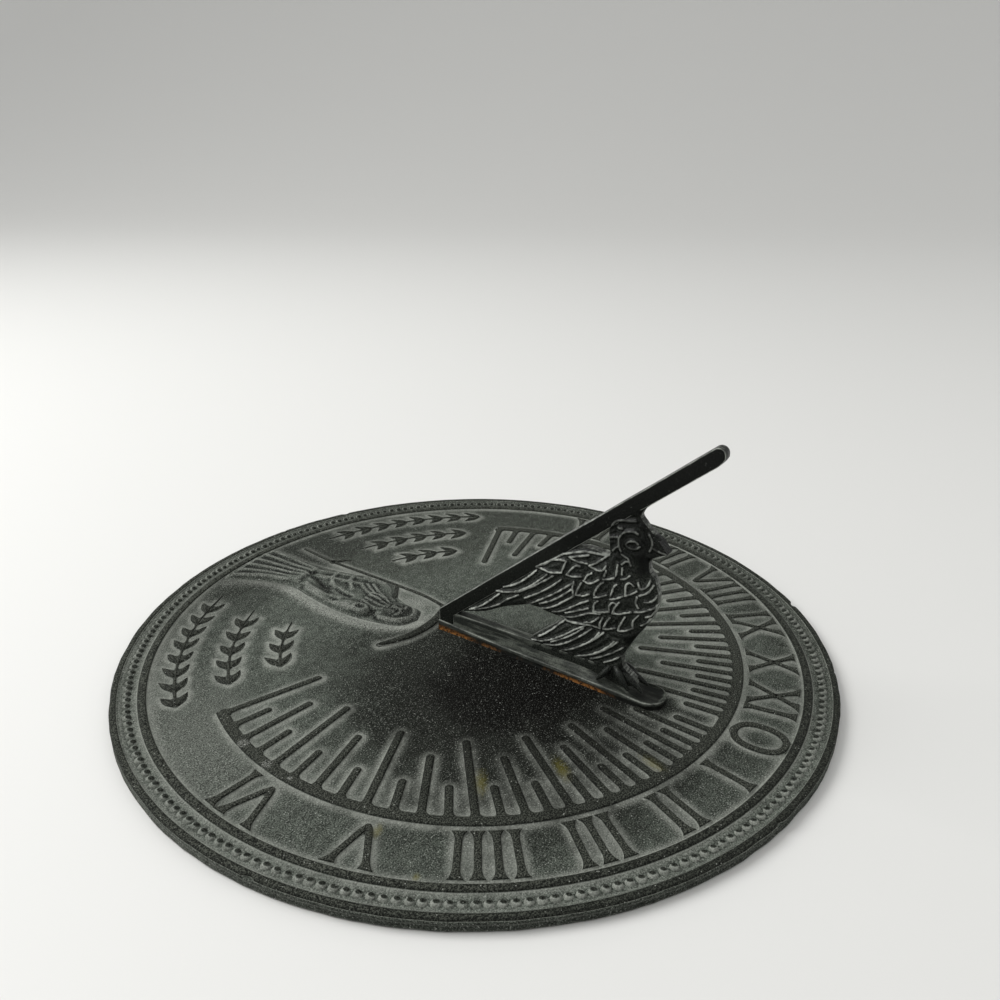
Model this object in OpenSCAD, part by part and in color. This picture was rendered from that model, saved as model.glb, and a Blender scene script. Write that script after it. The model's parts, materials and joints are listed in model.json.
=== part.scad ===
// Garden sundial: a cast dial plate with raised work, a cast gnomon with a perched bird
// under its style, and the two screws that hold the gnomon from below.
// Millimetres, +Z up, noon toward +Y, afternoon hours toward +X.
// The origin is the centre of the plate's underside.

/* [Dial plate] */
// Diameter of the plate
plate_d = 254; // [240:1:290]
// Height of the raised faces above the underside
plate_h = 4; // [3.8:0.1:6]
// Height of the raised work above the field
relief_h = 0.8; // [0.5:0.1:1]
// Depth of the hollow under the plate
under_h = 0.8; // [0.4:0.1:0.9]
// Width of the flat ring that the plate rests on
rest_w = 15; // [8:1:25]

/* [Rim] */
// Width of the outer flange
flange_w = 2.4; // [1.6:0.1:4]
// Height of the flange above the raised faces
flange_rise = 0.2; // [0:0.05:0.4]
// Radius of the flange's outer edge
edge_r = 0.8; // [0.3:0.1:1.2]
// Depth of the parting groove in the rim's side
groove_depth = 0.35; // [0.2:0.05:0.6]
// Width of the channel that holds the beads
channel_w = 6.6; // [5:0.1:9]
// Depth of the channel below the raised faces
channel_depth = 0.7; // [0.4:0.1:1]
// Width of the rounded ring inside the channel
ridge_w = 2.8; // [2:0.1:4]
// Height of the rounded ring above the raised faces
ridge_rise = 0.3; // [0:0.05:0.5]
// Diameter of a bead
bead_d = 2.2; // [1.6:0.1:2.8]
// Distance from one bead to the next
bead_pitch = 3.3; // [3:0.1:6]

/* [Hour scale] */
// Latitude that the hour lines are drawn for
latitude = 45; // [38:1:54]
// Distance from the plate's centre back to the point where the hour lines meet
centre_back = 11.8; // [8:0.2:16]
// Width of the band that holds the numerals
numeral_band = 19.6; // [17:0.2:22]
// Width of the arc inside the numerals
arc_w = 3.9; // [2.5:0.1:5]
// Width of a mark
mark_w = 2.3; // [1.4:0.1:2.8]
// Length of an hour mark
hour_mark = 33; // [26:0.5:38]
// Length of a half-hour mark
half_mark = 25; // [16:0.5:25.5]
// Length of a quarter-hour mark
quarter_mark = 12.6; // [6:0.2:15]

/* [Numerals] */
// Width of a numeral's strokes
stroke_w = 2.1; // [1.4:0.1:2.6]
// Distance between a numeral's bars
bar_pitch = 5.4; // [4.6:0.1:6]
// Width of the letters V and X between their outer ends
wide_letter = 11; // [9:0.1:12]
// How far a stroke flares out at its ends
flare = 0.8; // [0.3:0.1:1.2]
// Gap between the numerals and the arc
numeral_gap = 0.8; // [0.4:0.1:1.6]
// Width of the noon ring
noon_w = 14.4; // [12:0.2:16]
// Angle by which the six o'clock numerals sit back toward noon
numeral_pull = 2.4; // [0:0.2:4]

/* [Leaf rows] */
// Length of a leaf
leaf_l = 8.4; // [6:0.2:10]
// Width of a leaf
leaf_w = 3.4; // [2.4:0.2:4.4]
// Angle between a leaf and its row
leaf_lean = 32; // [20:1:45]
// Distance from leaf to leaf along a row
leaf_pitch = 8.2; // [7.4:0.2:11]
// Width of a row's stem
stem_w = 1.1; // [0.8:0.1:1.6]
// Distance from one row to the next
row_step = 17.5; // [15:0.5:20]

/* [Plate figure] */
// Height of the figure's body above the field
figure_h = 2.4; // [1.6:0.1:3]
// Height of the wing above the field
figure_wing_h = 1.2; // [0.8:0.1:1.6]
// Width of the scythe's handle
handle_w = 1.7; // [1.2:0.1:2.4]

/* [Gnomon] */
// Angle of the style above the plate
style_angle = 40.5; // [38:0.5:44]
// Reach of the style from the plate's surface to its tip, measured along noon
style_reach = 110.5; // [100:0.5:118]
// Distance from the plate's centre back to where the style's edge meets the surface
style_back = 25; // [22:0.5:28]
// Depth of the style bar
style_depth = 5.1; // [4:0.1:6]
// Thickness of the style and of the bird's edge
web_t = 4; // [3.4:0.1:5]
// How far the bird's body stands out of the web on each side
bird_out = 0.7; // [0.3:0.1:1.2]
// Radius of the corner at the style's end
tip_r = 2.2; // [0.6:0.1:2.4]

/* [Gnomon foot] */
// Length of the foot
foot_l = 90.2; // [84:0.2:94]
// Width of the foot at the style's root
foot_root_w = 7; // [6.4:0.1:8]
// Width of the foot at its round end
foot_nose_w = 12.4; // [10:0.2:14]
// Height of the foot's side
foot_side_h = 2.8; // [2:0.1:3.4]
// Height of the wall on the foot, above the field
wall_h = 8.4; // [7.6:0.1:9]

/* [Fixing screws] */
// Diameter of a screw's thread
screw_d = 4; // [3:0.5:4]
// Length of a screw, head and all
screw_l = 6; // [5.5:0.5:6.5]
// Diameter of a screw's countersunk head
head_d = 7.4; // [6:0.1:7.6]
// How far a head sits below the hollow's face
head_sink = 0.1; // [0.05:0.05:0.2]
// Width of the slot in a head
slot_w = 1.1; // [0.8:0.1:1.4]
// Gap round the screw in the plate
hole_gap = 0.25; // [0.1:0.05:0.4]
// Gap between a screw's thread and its hole in the foot
thread_gap = 0.03; // [0.02:0.01:0.05]
// Distance between the two screws
screw_span = 52; // [46:1:58]
// Distance from the foot's root end to the first screw
screw_from_root = 13; // [11:0.5:16]

/* [Hidden] */
$fn = 96;

iron = "#4a4e4b";
dark_iron = "#2b2c2b";
steel = "#8f9191";

// Robe of the figure, as places in hundredths of the field's radius: how far out, and half its width
robe_half = [[35, 0], [37, 5], [40, 9.5], [45, 12], [50, 12.3], [57, 11.4],
             [65, 9.8], [73, 8.4], [80, 7], [86, 4], [88, 0]];
// How far the robe's middle lies to one side
robe_side = 0.4;
// Folds of the wing, side by side: how far out, the side of the first one, and the step to the next
fold_path = [[70, -4, 1.7], [80, -7, 2.6], [90, -8, 3.5], [99.4, -7.5, 4.3]];
// Number of folds, and the width of each at the ring
wing_folds = 6;
fold_end_w = 6;
// Part of the wing's height that every second fold has
low_fold = 0.8;
// Corners of the wedge that cuts a leaf row's stem, as a part of its radius
wedge_reach = 2;

// How far raised work and walls run into what carries them
bury = 0.5;
// A little more than a face, so that a cut passes it
past = 1;

plate_r = plate_d / 2;
field_z = plate_h - relief_h;
flange_z = plate_h + flange_rise;
flange_in = plate_r - flange_w;
ridge_out = flange_in - channel_w;
ridge_in = ridge_out - ridge_w;
channel_z = plate_h - channel_depth;
channel_slope = channel_w / 5;
bead_r = ridge_out + channel_w / 2;
bead_count = floor(360 / (2 * asin(bead_pitch / 2 / bead_r)));

arc_out = ridge_in - numeral_band;
arc_in = arc_out - arc_w;
arc_mid = arc_out - arc_w / 2;
numeral_in = arc_out + numeral_gap;
numeral_mid = (numeral_in + ridge_in) / 2;
last_hour = 7;
last_numeral = 6;

style_zero_y = -style_back;
style_rise = style_reach * tan(style_angle);
// The foot starts where the style's edge is as high as the wall
foot_root_y = style_zero_y + (wall_h - relief_h) / tan(style_angle);
foot_nose_y = foot_root_y + foot_l;

// Point at a distance from a centre, with the angle counted clockwise from noon
function clockwise(r, angle) = [r * sin(angle), r * cos(angle)];

// Angle of an hour line about the point where the hour lines meet
function hour_angle(hour) = atan2(sin(latitude) * sin(15 * hour), cos(15 * hour));

// Distance along an hour line from that point to a circle about the plate's centre
function hour_reach(hour, r) =
    centre_back * cos(hour_angle(hour)) + sqrt(r * r - pow(centre_back * sin(hour_angle(hour)), 2));

// The same point as an angle about the plate's centre
function hour_place(hour, r) =
    let (reach = hour_reach(hour, r), angle = hour_angle(hour))
    atan2(reach * sin(angle), reach * cos(angle) - centre_back);

function numeral_place(hour) =
    hour_place(hour, numeral_mid) - sign(hour) * numeral_pull * pow(hour / last_numeral, 2);

// Points of a smooth curve through a row of points, with both ends kept
function curve_point(a, b, c, d, t) =
    0.5 * (2 * b + (c - a) * t + (2 * a - 5 * b + 4 * c - d) * t * t
        + (3 * b - a - 3 * c + d) * t * t * t);
function curve(points, steps = 4) =
    let (last = len(points) - 1)
    [for (i = [0 : last - 1], k = [0 : steps - 1])
        curve_point(points[max(i - 1, 0)], points[i], points[i + 1], points[min(i + 2, last)], k / steps),
     points[last]];

module raised(height) {
    translate([0, 0, field_z - bury])
        linear_extrude(height + bury)
            children();
}

// Low dome on the field, r across its foot
module dome(r, height) {
    ball = (r * r + height * height) / (2 * height);
    translate([0, 0, field_z])
        intersection() {
            translate([0, 0, height - ball])
                sphere(ball);
            translate([0, 0, -bury])
                cylinder(h = height + bury + past, r = r + bury);
        }
}

// Cross-section of the plate, from its centre to its rim
module plate_section() {
    edge_steps = 5;
    crest_steps = 8;
    groove_z = plate_h / 2 + groove_depth;
    ridge_mid = (ridge_in + ridge_out) / 2;
    foot_edge = edge_r / 2;
    polygon(concat(
        [[0, under_h],
         [plate_r - rest_w, under_h],
         [plate_r - rest_w + under_h, 0],
         [plate_r - foot_edge, 0],
         [plate_r, foot_edge],
         [plate_r, groove_z - groove_depth],
         [plate_r - groove_depth, groove_z],
         [plate_r, groove_z + groove_depth / 2]],
        [for (i = [0 : edge_steps])
            [plate_r - edge_r + edge_r * cos(90 * i / edge_steps),
             flange_z - edge_r + edge_r * sin(90 * i / edge_steps)]],
        [[flange_in, flange_z],
         [flange_in - channel_slope, channel_z],
         [ridge_out + channel_slope, channel_z],
         [ridge_out, plate_h - relief_h / 4]],
        [for (i = [1 : crest_steps - 1])
            [ridge_mid + (ridge_w / 2) * cos(180 * i / crest_steps),
             plate_h - relief_h / 4 + (ridge_rise + relief_h / 4) * sin(180 * i / crest_steps)]],
        [[ridge_in, plate_h - relief_h / 4],
         [ridge_in - relief_h / 4, field_z],
         [0, field_z]]));
}

module beads() {
    for (i = [0 : bead_count - 1])
        rotate(360 * i / bead_count)
            translate([bead_r, 0, channel_z - bead_d / 8])
                sphere(d = bead_d, $fn = 24);
}

// One mark of the hour scale, round at its inner end
module mark(hour, length) {
    inner = hour_reach(hour, arc_in) - length + mark_w / 2;
    outer = hour_reach(hour, abs(hour) == last_hour ? arc_out : arc_mid);
    translate([0, -centre_back])
        rotate(-hour_angle(hour)) {
            translate([-mark_w / 2, inner])
                square([mark_w, outer - inner]);
            translate([0, inner])
                circle(d = mark_w, $fn = 24);
        }
}

module hour_marks() {
    for (quarter = [-4 * last_hour : 4 * last_hour])
        if (quarter != 0)
            raised(relief_h)
                mark(quarter / 4,
                    quarter % 4 == 0 ? hour_mark : quarter % 2 == 0 ? half_mark : quarter_mark);
}

// The arc stops at the first and the last hour line
module hour_arc() {
    sweep = hour_place(last_hour, arc_mid);
    translate([0, 0, field_z - bury])
        rotate(90 - sweep)
            rotate_extrude(angle = 2 * sweep)
                translate([arc_in, 0])
                    square([arc_w, relief_h + bury]);
}

// One stroke of a numeral, from x_in on the inner line to x_out on the outer one
module stroke(x_in, x_out, inner = numeral_in) {
    half = stroke_w / 2;
    outer = ridge_in + bury;
    lean = (x_out - x_in) / (outer - inner);
    bend = flare * 2;
    polygon([
        [x_in - half - flare, inner],
        [x_in + half + flare, inner],
        [x_in + half + lean * bend, inner + bend],
        [x_out + half - lean * bend, outer - bend],
        [x_out + half + flare, outer],
        [x_out - half - flare, outer],
        [x_out - half - lean * bend, outer - bend],
        [x_in - half + lean * bend, inner + bend]]);
}

// A V comes to a point above the inner line, and an X crosses half way
module wide_v() {
    tip = numeral_in + 2 * flare;
    outer = ridge_in + bury;
    half = wide_letter / 2;
    for (side = [-1, 1])
        polygon([
            [-side * stroke_w / 4, tip],
            [side * stroke_w / 2, tip + stroke_w],
            [side * (half + stroke_w / 2), outer],
            [side * (half - stroke_w / 2 - flare), outer],
            [side * (half - stroke_w / 2 - flare / 2), outer - flare],
            [-side * stroke_w / 3, tip + stroke_w]]);
}

module letter(name) {
    if (name == "I")
        stroke(0, 0);
    if (name == "V")
        wide_v();
    if (name == "X") {
        stroke(-wide_letter / 2, wide_letter / 2 - flare);
        stroke(wide_letter / 2, -wide_letter / 2 + flare);
    }
}

// The room that a letter takes in its numeral, and the room before one of its letters
function letter_room(name) = name == "I" ? bar_pitch : wide_letter + stroke_w;
function room_before(name, i) = i == 0 ? 0 : letter_room(name[i - 1]) + room_before(name, i - 1);

module numeral(name) {
    width = room_before(name, len(name));
    for (i = [0 : len(name) - 1])
        rotate(-(room_before(name, i) + letter_room(name[i]) / 2 - width / 2) / numeral_mid * 180 / PI)
            letter(name[i]);
}

// The ring's sides are wider than its ends
module noon_ring() {
    long = ridge_in - numeral_in - numeral_gap;
    side_w = stroke_w * 1.3;
    translate([0, numeral_mid])
        difference() {
            oval(noon_w, long);
            oval(noon_w - 2 * side_w, long - 2 * stroke_w);
        }
}

module oval(wide, long) {
    fullness = 2.3;
    steps = 48;
    polygon([
        for (i = [0 : steps - 1])
            let (c = cos(360 * i / steps), s = sin(360 * i / steps))
            [sign(c) * wide / 2 * pow(abs(c), 2 / fullness),
             sign(s) * long / 2 * pow(abs(s), 2 / fullness)]]);
}

module numerals() {
    names = ["VI", "VII", "VIII", "IX", "X", "XI", "", "I", "II", "III", "IIII", "V", "VI"];
    for (hour = [-last_numeral : last_numeral])
        raised(relief_h)
            rotate(-numeral_place(hour))
                if (hour == 0)
                    noon_ring();
                else
                    numeral(names[hour + last_numeral]);
}

// Half the width of a leaf at a part of its length
function leaf_half(part) = leaf_w / 2 * sin(180 * pow(part, 0.8));

// Pointed leaf, from its root at the origin along +X
module leaf() {
    steps = 6;
    polygon(concat(
        [for (i = [0 : steps]) [leaf_l * i / steps, leaf_half(i / steps)]],
        [for (i = [steps - 1 : -1 : 1]) [leaf_l * i / steps, -leaf_half(i / steps)]]));
}

// Row of leaf pairs along a circle, from one angle to another
module leaf_row(r, from, to) {
    count = floor((to - from) * PI / 180 * r / leaf_pitch);
    step = (to - from) / count;
    raised(relief_h)
        rotate(90 - to)
            difference() {
                intersection() {
                    circle(r + stem_w / 2);
                    polygon(concat(
                        [[0, 0]],
                        [for (part = [0 : 0.5 : 1]) clockwise(wedge_reach * r, 90 - (to - from) * part)]));
                }
                circle(r - stem_w / 2);
            }
    for (i = [0 : count - 1], side = [-1, 1])
        raised(relief_h)
            rotate(90 - from - step * i)
                translate([r + side * stem_w / 4, 0])
                    rotate(-90 + side * leaf_lean)
                        leaf();
}

// Three rows on each side, between the last hour line and the figure
module leaf_rows() {
    outer = (ridge_in + arc_out) / 2 + stem_w;
    from = hour_place(last_hour, ridge_in) + 6;
    to = 161;
    shorter = 4;
    for (side = [0, 1])
        mirror([side, 0])
            for (row = [0 : 2])
                leaf_row(outer - row * row_step, from + shorter * row, to - shorter * row);
}

// Places on the figure: how far out from the plate's centre, and how far to its side, in hundredths
// of the field's radius
function figure_at(out, side) = [side * ridge_in / 100, -out * ridge_in / 100];

module figure_dome(out, side, r, height) {
    translate(figure_at(out, side))
        dome(r * ridge_in / 100, height);
}

// Robe: a long form turned about a line below the field, so that only its back stands out
module figure_robe() {
    widest = max([for (place = robe_half) place[1]]) * ridge_in / 100;
    robe_sink = (widest * widest - figure_h * figure_h) / (2 * figure_h);
    side = [
        for (place = robe_half)
            let (half = place[1] * ridge_in / 100)
                [half == 0 ? robe_sink - bury : norm([robe_sink, half]), place[0] * ridge_in / 100]
    ];
    last = side[len(side) - 1];
    intersection() {
        translate([figure_at(0, robe_side)[0], 0, field_z - robe_sink])
            rotate([90, 0, 0])
                rotate_extrude()
                    polygon(concat([[0, side[0][1]]], side, [[0, last[1]]]));
        translate([-widest - bury, -last[1], field_z - bury])
            cube([2 * widest + 2 * bury, last[1], figure_h + 2 * bury]);
    }
}

// Winged figure with a long robe that lies along the line opposite noon
module figure_body() {
    figure_dome(31, 3, 7.5, figure_h);
    figure_dome(41, 2, 6, figure_h);
    figure_dome(42.5, 8.5, 3.4, figure_h);
    figure_robe();
}

// Band along a row of points that run away from the plate's centre, wider toward its end
module band(points, width_from, width_to) {
    last = len(points) - 1;
    half = [for (i = [0 : last]) (width_from + (width_to - width_from) * i / last) / 2];
    polygon(concat(
        [for (i = [0 : last]) points[i] - [half[i], 0]],
        [for (i = [last : -1 : 0]) points[i] + [half[i], 0]]));
}

// Folds of the wing, which spread out toward the ring
module figure_wing() {
    for (i = [0 : wing_folds - 1])
        raised(figure_wing_h * (i % 2 == 0 ? 1 : low_fold))
            band(
                curve([for (place = fold_path) figure_at(place[0], place[1] + place[2] * i)]),
                stroke_w, fold_end_w);
}

module scythe() {
    handle = curve([figure_at(19.5, -9.5), figure_at(30, -11.8), figure_at(42, -12.5),
                    figure_at(58, -13), figure_at(76, -13.5), figure_at(90, -15.5)]);
    blade_out = curve([figure_at(19.4, -10), figure_at(16.4, -2), figure_at(16.8, 9), figure_at(23, 20.6)]);
    blade_in = curve([figure_at(24, 20), figure_at(19.6, 9), figure_at(19.2, -2), figure_at(21, -8)]);
    raised(relief_h)
        band(handle, handle_w, handle_w);
    raised(relief_h)
        band(curve([figure_at(38, -5.5), figure_at(43, -12.4)]), handle_w, handle_w);
    raised(relief_h)
        band(curve([figure_at(69, -17.5), figure_at(71.4, -16.6), figure_at(74, -13.4)]),
            handle_w / 2, 2 * handle_w);
    raised(relief_h * 1.5)
        polygon(concat(blade_out, blade_in));
}

// Place on the foot's line where a screw sits
function screw_y(i) = foot_root_y + screw_from_root + i * screw_span;

module screw_places() {
    for (i = [0, 1])
        translate([0, screw_y(i), 0])
            children();
}

// The countersink is cut to the cone of the head, which bears on it all round
module screw_hole() {
    mouth_r = head_d / 2 + head_sink;
    cylinder(h = plate_h + past, r = screw_d / 2 + hole_gap);
    cylinder(h = mouth_r + under_h, r1 = mouth_r + under_h, r2 = 0);
}

module dial_plate() {
    color(iron)
        difference() {
            union() {
                rotate_extrude()
                    plate_section();
                beads();
                hour_arc();
                hour_marks();
                numerals();
                leaf_rows();
                figure_body();
                figure_wing();
                scythe();
            }
            screw_places()
                screw_hole();
        }
}

// Places on the gnomon's side, in hundredths of the style's reach and rise:
// the style's edge runs along the diagonal
function side_at(along, up) = [style_zero_y + along * style_reach / 100, plate_h + up * style_rise / 100];
function side_points(points) = [for (p = points) side_at(p[0], p[1])];

// Stands a drawing of the gnomon's side up along the noon line
module side_plate(thickness) {
    rotate([90, 0, 90])
        translate([0, 0, -thickness / 2])
            linear_extrude(thickness)
                children();
}

module style_outline() {
    drop = style_depth / cos(style_angle);
    tip_y = style_zero_y + style_reach;
    low_z = plate_h + style_rise - drop;
    lean = tan(style_angle);
    corner = [tip_y - tip_r, plate_h + style_rise - tip_r * lean - tip_r / cos(style_angle)];
    corner_turn = 90 + style_angle;
    corner_steps = 6;
    polygon(concat(
        [[foot_root_y, field_z + past],
         [foot_root_y, plate_h + (foot_root_y - style_zero_y) * lean]],
        [for (i = [0 : corner_steps])
            let (angle = corner_turn * (1 - i / corner_steps))
            corner + tip_r * [cos(angle), sin(angle)]],
        [[tip_y, low_z + tip_r / 2],
         [tip_y - tip_r, low_z - tip_r * lean],
         [foot_root_y + drop, plate_h + (foot_root_y + drop - style_zero_y) * lean - drop],
         [foot_root_y + drop, field_z + past]]));
}

module bird_outline() {
    polygon(concat(
        side_points([[73, 70.5], [83, 80], [81.1, 74]]),
        curve(side_points([[79, 71.6], [77.9, 68.8], [79.3, 66.5], [81.1, 64.5], [83.7, 62.2]])),
        side_points([[86.9, 57.8]]),
        curve(side_points([[83.6, 55.9], [81.6, 53.7], [81.8, 49.6], [83.4, 47.7], [84.7, 43.9], [85.1, 40.3],
                           [84.6, 35.3], [82.7, 29.9], [79.7, 24.1], [76.7, 17.4], [75.2, 13.6]])),
        side_points([[76, 9.6], [79.9, 6.4], [80.6, 4.2], [75.8, 1], [43.8, 1], [43.8, 9.4], [55.3, 21.4]]),
        curve(side_points([[56, 21.9], [50.2, 22], [43.8, 22.8], [39.3, 21.1], [33.2, 18], [26.3, 13.5],
                           [17.6, 10.2]])),
        side_points([[20.1, 16], [57.5, 53.5]]),
        curve(side_points([[58.9, 51.6], [63.9, 52.1], [69.2, 51.3]])),
        curve(side_points([[69.4, 52.4], [68.9, 56.7], [68.6, 61], [69.4, 66.3]]))));
}

// The parts of the bird that stand out of the web: head and breast, then wing and tail
module bird_body_outline() {
    polygon(curve(side_points([[72, 64], [78, 64.5], [80.5, 60], [79.8, 54], [80, 48], [82.6, 43.5], [83, 38],
                               [81.4, 30], [77.6, 22], [74, 16], [68, 21], [62, 27], [62, 38], [66, 47],
                               [70.6, 52], [70.4, 58], [72, 64]])));
}

module bird_wing_outline() {
    polygon(concat(
        curve(side_points([[60.5, 50.5], [68, 49.6], [73.5, 44], [76, 36], [73, 27], [66, 23.4], [57, 23.2],
                           [44, 23.6], [33, 18.8], [24, 13.6], [19.6, 11]])),
        side_points([[45.5, 38], [57, 49.4]])));
}

module bird_tail_outline() {
    polygon(curve(side_points([[73, 21], [72, 14], [62, 9.8], [46, 9.6], [57.5, 21], [64, 23], [73, 21]])));
}

// Low wall between the style's root and the tail
module wall_outline() {
    polygon([
        [foot_root_y, field_z + past],
        [foot_root_y, field_z + wall_h - style_depth / 2],
        [foot_root_y + style_depth, field_z + wall_h],
        [side_at(70, 0)[0], field_z + wall_h],
        [side_at(76, 0)[0], field_z + foot_side_h + past],
        [side_at(76, 0)[0], field_z + past]]);
}

// Foot: upright sides, and a top that slopes up to a crest which falls away to the round end
module foot() {
    nose_r = foot_nose_w / 2;
    root_half = foot_root_w / 2;
    crest_y = side_at(68, 0)[0];
    crest_z = foot_side_h + web_t * 0.8;
    translate([0, 0, field_z])
        hull() {
            linear_extrude(foot_side_h)
                union() {
                    translate([0, foot_nose_y - nose_r])
                        circle(nose_r, $fn = 32);
                    translate([-root_half, foot_root_y])
                        square([foot_root_w, foot_root_w]);
                }
            translate([-web_t / 2, foot_root_y + past, 0])
                cube([web_t, crest_y - foot_root_y, crest_z]);
        }
}

module gnomon() {
    body_t = web_t + 2 * bird_out;
    color(dark_iron)
        difference() {
            union() {
                foot();
                side_plate(web_t)
                    wall_outline();
                side_plate(web_t)
                    style_outline();
                side_plate(web_t)
                    bird_outline();
                side_plate(body_t)
                    bird_body_outline();
                side_plate(body_t + bird_out / 2)
                    bird_wing_outline();
                side_plate(body_t)
                    bird_tail_outline();
            }
            screw_places()
                translate([0, 0, field_z - past])
                    cylinder(h = screw_l + head_sink + under_h - field_z + 2 * past, d = screw_d);
        }
}

module fixing_screws() {
    head_r = head_d / 2;
    thread_r = screw_d / 2 - thread_gap;
    color(steel)
        screw_places()
            translate([0, 0, under_h + head_sink])
                difference() {
                    union() {
                        cylinder(h = head_r - thread_r, r1 = head_r, r2 = thread_r);
                        cylinder(h = screw_l, r = thread_r);
                    }
                    translate([-head_d / 2, -slot_w / 2, -past])
                        cube([head_d, slot_w, past + (head_r - thread_r) / 2]);
                }
}

dial_plate();
gnomon();
fixing_screws();
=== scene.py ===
# Garden sundial: a cast iron dial plate, and a gnomon with a perched bird, on a pale table
import json
import math
import bmesh
import bpy
import numpy as np
from mathutils import Matrix, Vector

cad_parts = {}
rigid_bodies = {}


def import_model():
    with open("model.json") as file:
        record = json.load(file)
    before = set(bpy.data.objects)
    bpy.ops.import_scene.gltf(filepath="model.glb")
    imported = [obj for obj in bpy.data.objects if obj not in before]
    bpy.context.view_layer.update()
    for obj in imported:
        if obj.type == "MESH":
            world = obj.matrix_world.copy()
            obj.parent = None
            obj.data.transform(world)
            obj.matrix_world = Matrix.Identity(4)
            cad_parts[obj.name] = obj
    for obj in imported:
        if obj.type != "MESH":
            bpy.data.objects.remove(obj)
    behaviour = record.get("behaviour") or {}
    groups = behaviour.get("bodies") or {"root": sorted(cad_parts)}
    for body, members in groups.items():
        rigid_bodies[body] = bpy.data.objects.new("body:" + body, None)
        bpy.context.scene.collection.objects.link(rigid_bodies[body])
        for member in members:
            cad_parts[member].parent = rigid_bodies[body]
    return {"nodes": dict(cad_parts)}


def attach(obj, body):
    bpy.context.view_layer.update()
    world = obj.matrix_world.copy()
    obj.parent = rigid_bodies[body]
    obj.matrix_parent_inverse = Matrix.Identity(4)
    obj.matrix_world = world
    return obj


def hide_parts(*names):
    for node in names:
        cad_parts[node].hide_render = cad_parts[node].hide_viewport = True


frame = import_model()
for leftover in list(bpy.data.objects):
    if leftover.type in ("MESH", "LIGHT", "CAMERA") and leftover.name not in frame["nodes"]:
        bpy.data.objects.remove(leftover)
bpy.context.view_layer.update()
mm = 0.001

# sizes in millimetres, noon toward +Y, afternoon hours toward +X
dial = {"radius": 127, "height": 4, "field": 3.2, "hollow": 0.8, "restWidth": 15, "latitude": 45,
        "centreBack": 11.8, "seam": 93.6, "floor": 1.6}


# Small helpers

def addNode(tree, kind, inputs=None, **settings):
    node = tree.nodes.new(kind)
    for name, value in settings.items():
        setattr(node, name, value)
    for socket, value in (inputs or {}).items():
        if isinstance(value, bpy.types.NodeSocket):
            tree.links.new(value, node.inputs[socket])
        else:
            node.inputs[socket].default_value = value
    return node


def linearColour(code):
    parts = [int(code[i:i + 2], 16) / 255 for i in (1, 3, 5)]
    return tuple(c / 12.92 if c <= 0.04045 else ((c + 0.055) / 1.055) ** 2.4 for c in parts) + (1,)


def fadeBetween(low, high, value):
    t = np.clip((value - low) / (high - low), 0, 1)
    return t * t * (3 - 2 * t)


def bellOf(value, middle, spread):
    return np.exp(-((value - middle) / spread) ** 2)


def smoothCurve(points, steps=6):
    # Catmull-Rom through the points, both ends kept
    p = [np.array(q, float) for q in points]
    p = [p[0]] + p + [p[-1]]
    made = []
    for a, b, c, d in zip(p, p[1:], p[2:], p[3:]):
        for k in range(steps):
            t = k / steps
            bend = (2 * a - 5 * b + 4 * c - d) * t * t
            made.append(0.5 * (2 * b + (c - a) * t + bend + (3 * b - a - 3 * c + d) * t ** 3))
    return np.array(made + [p[-1]])


def clockwise(radius, angle):
    a = math.radians(angle)
    return np.array([radius * math.sin(a), radius * math.cos(a)])


def wander(x, y, size, seed):
    # soft unevenness between -1 and 1, from a few long waves
    made = np.zeros_like(np.asarray(x, float))
    for i in range(5):
        a = 2.4 * i + seed * 1.7
        along = x * math.cos(a) + y * math.sin(a)
        made += np.sin(along * 6.28 / size * (0.7 + 0.17 * i) + seed * 3.1 + i * 1.9)
    return made / 3.2


def segmentDistance(x, y, a, b):
    # distance to a straight line from a to b, and how far along it the nearest place lies
    d = np.array(b, float) - np.array(a, float)
    t = np.clip(((x - a[0]) * d[0] + (y - a[1]) * d[1]) / max(float(d @ d), 1e-9), 0, 1)
    return np.hypot(x - a[0] - t * d[0], y - a[1] - t * d[1]), t


def lineDistance(x, y, points):
    best = np.full(np.shape(x), 1e3)
    for a, b in zip(points, points[1:]):
        best = np.minimum(best, segmentDistance(x, y, a, b)[0])
    return best


def outlineDistance(x, y, outline):
    # distance to a closed outline, positive inside, with the nearest place on it
    best = np.full(np.shape(x), 1e6)
    nearX, nearY, inside = np.zeros_like(best), np.zeros_like(best), np.zeros(np.shape(x), bool)
    for a, b in zip(outline, np.roll(outline, -1, axis=0)):
        far, t = segmentDistance(x, y, a, b)
        closer = far < best
        best = np.where(closer, far, best)
        nearX = np.where(closer, a[0] + t * (b[0] - a[0]), nearX)
        nearY = np.where(closer, a[1] + t * (b[1] - a[1]), nearY)
        if a[1] != b[1]:
            crossing = (b[0] - a[0]) * (y - a[1]) / (b[1] - a[1]) + a[0]
            inside ^= ((y < a[1]) != (y < b[1])) & (x < crossing)
    return np.where(inside, best, -best), nearX, nearY


def faceOutward(mesh):
    work = bmesh.new()
    work.from_mesh(mesh)
    bmesh.ops.recalc_face_normals(work, faces=work.faces)
    work.to_mesh(mesh)
    work.free()


def meshObject(name, points, faces, values):
    # points in millimetres; every value is one number a point, kept as an attribute
    mesh = bpy.data.meshes.new(name)
    mesh.from_pydata((np.asarray(points, float) * mm).tolist(), [], [list(map(int, f)) for f in faces])
    for key, value in values.items():
        layer = mesh.attributes.new(key, "FLOAT", "POINT")
        layer.data.foreach_set("value", np.ascontiguousarray(value, dtype=np.float32))
    made = bpy.data.objects.new(name, mesh)
    bpy.context.scene.collection.objects.link(made)
    return made


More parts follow.
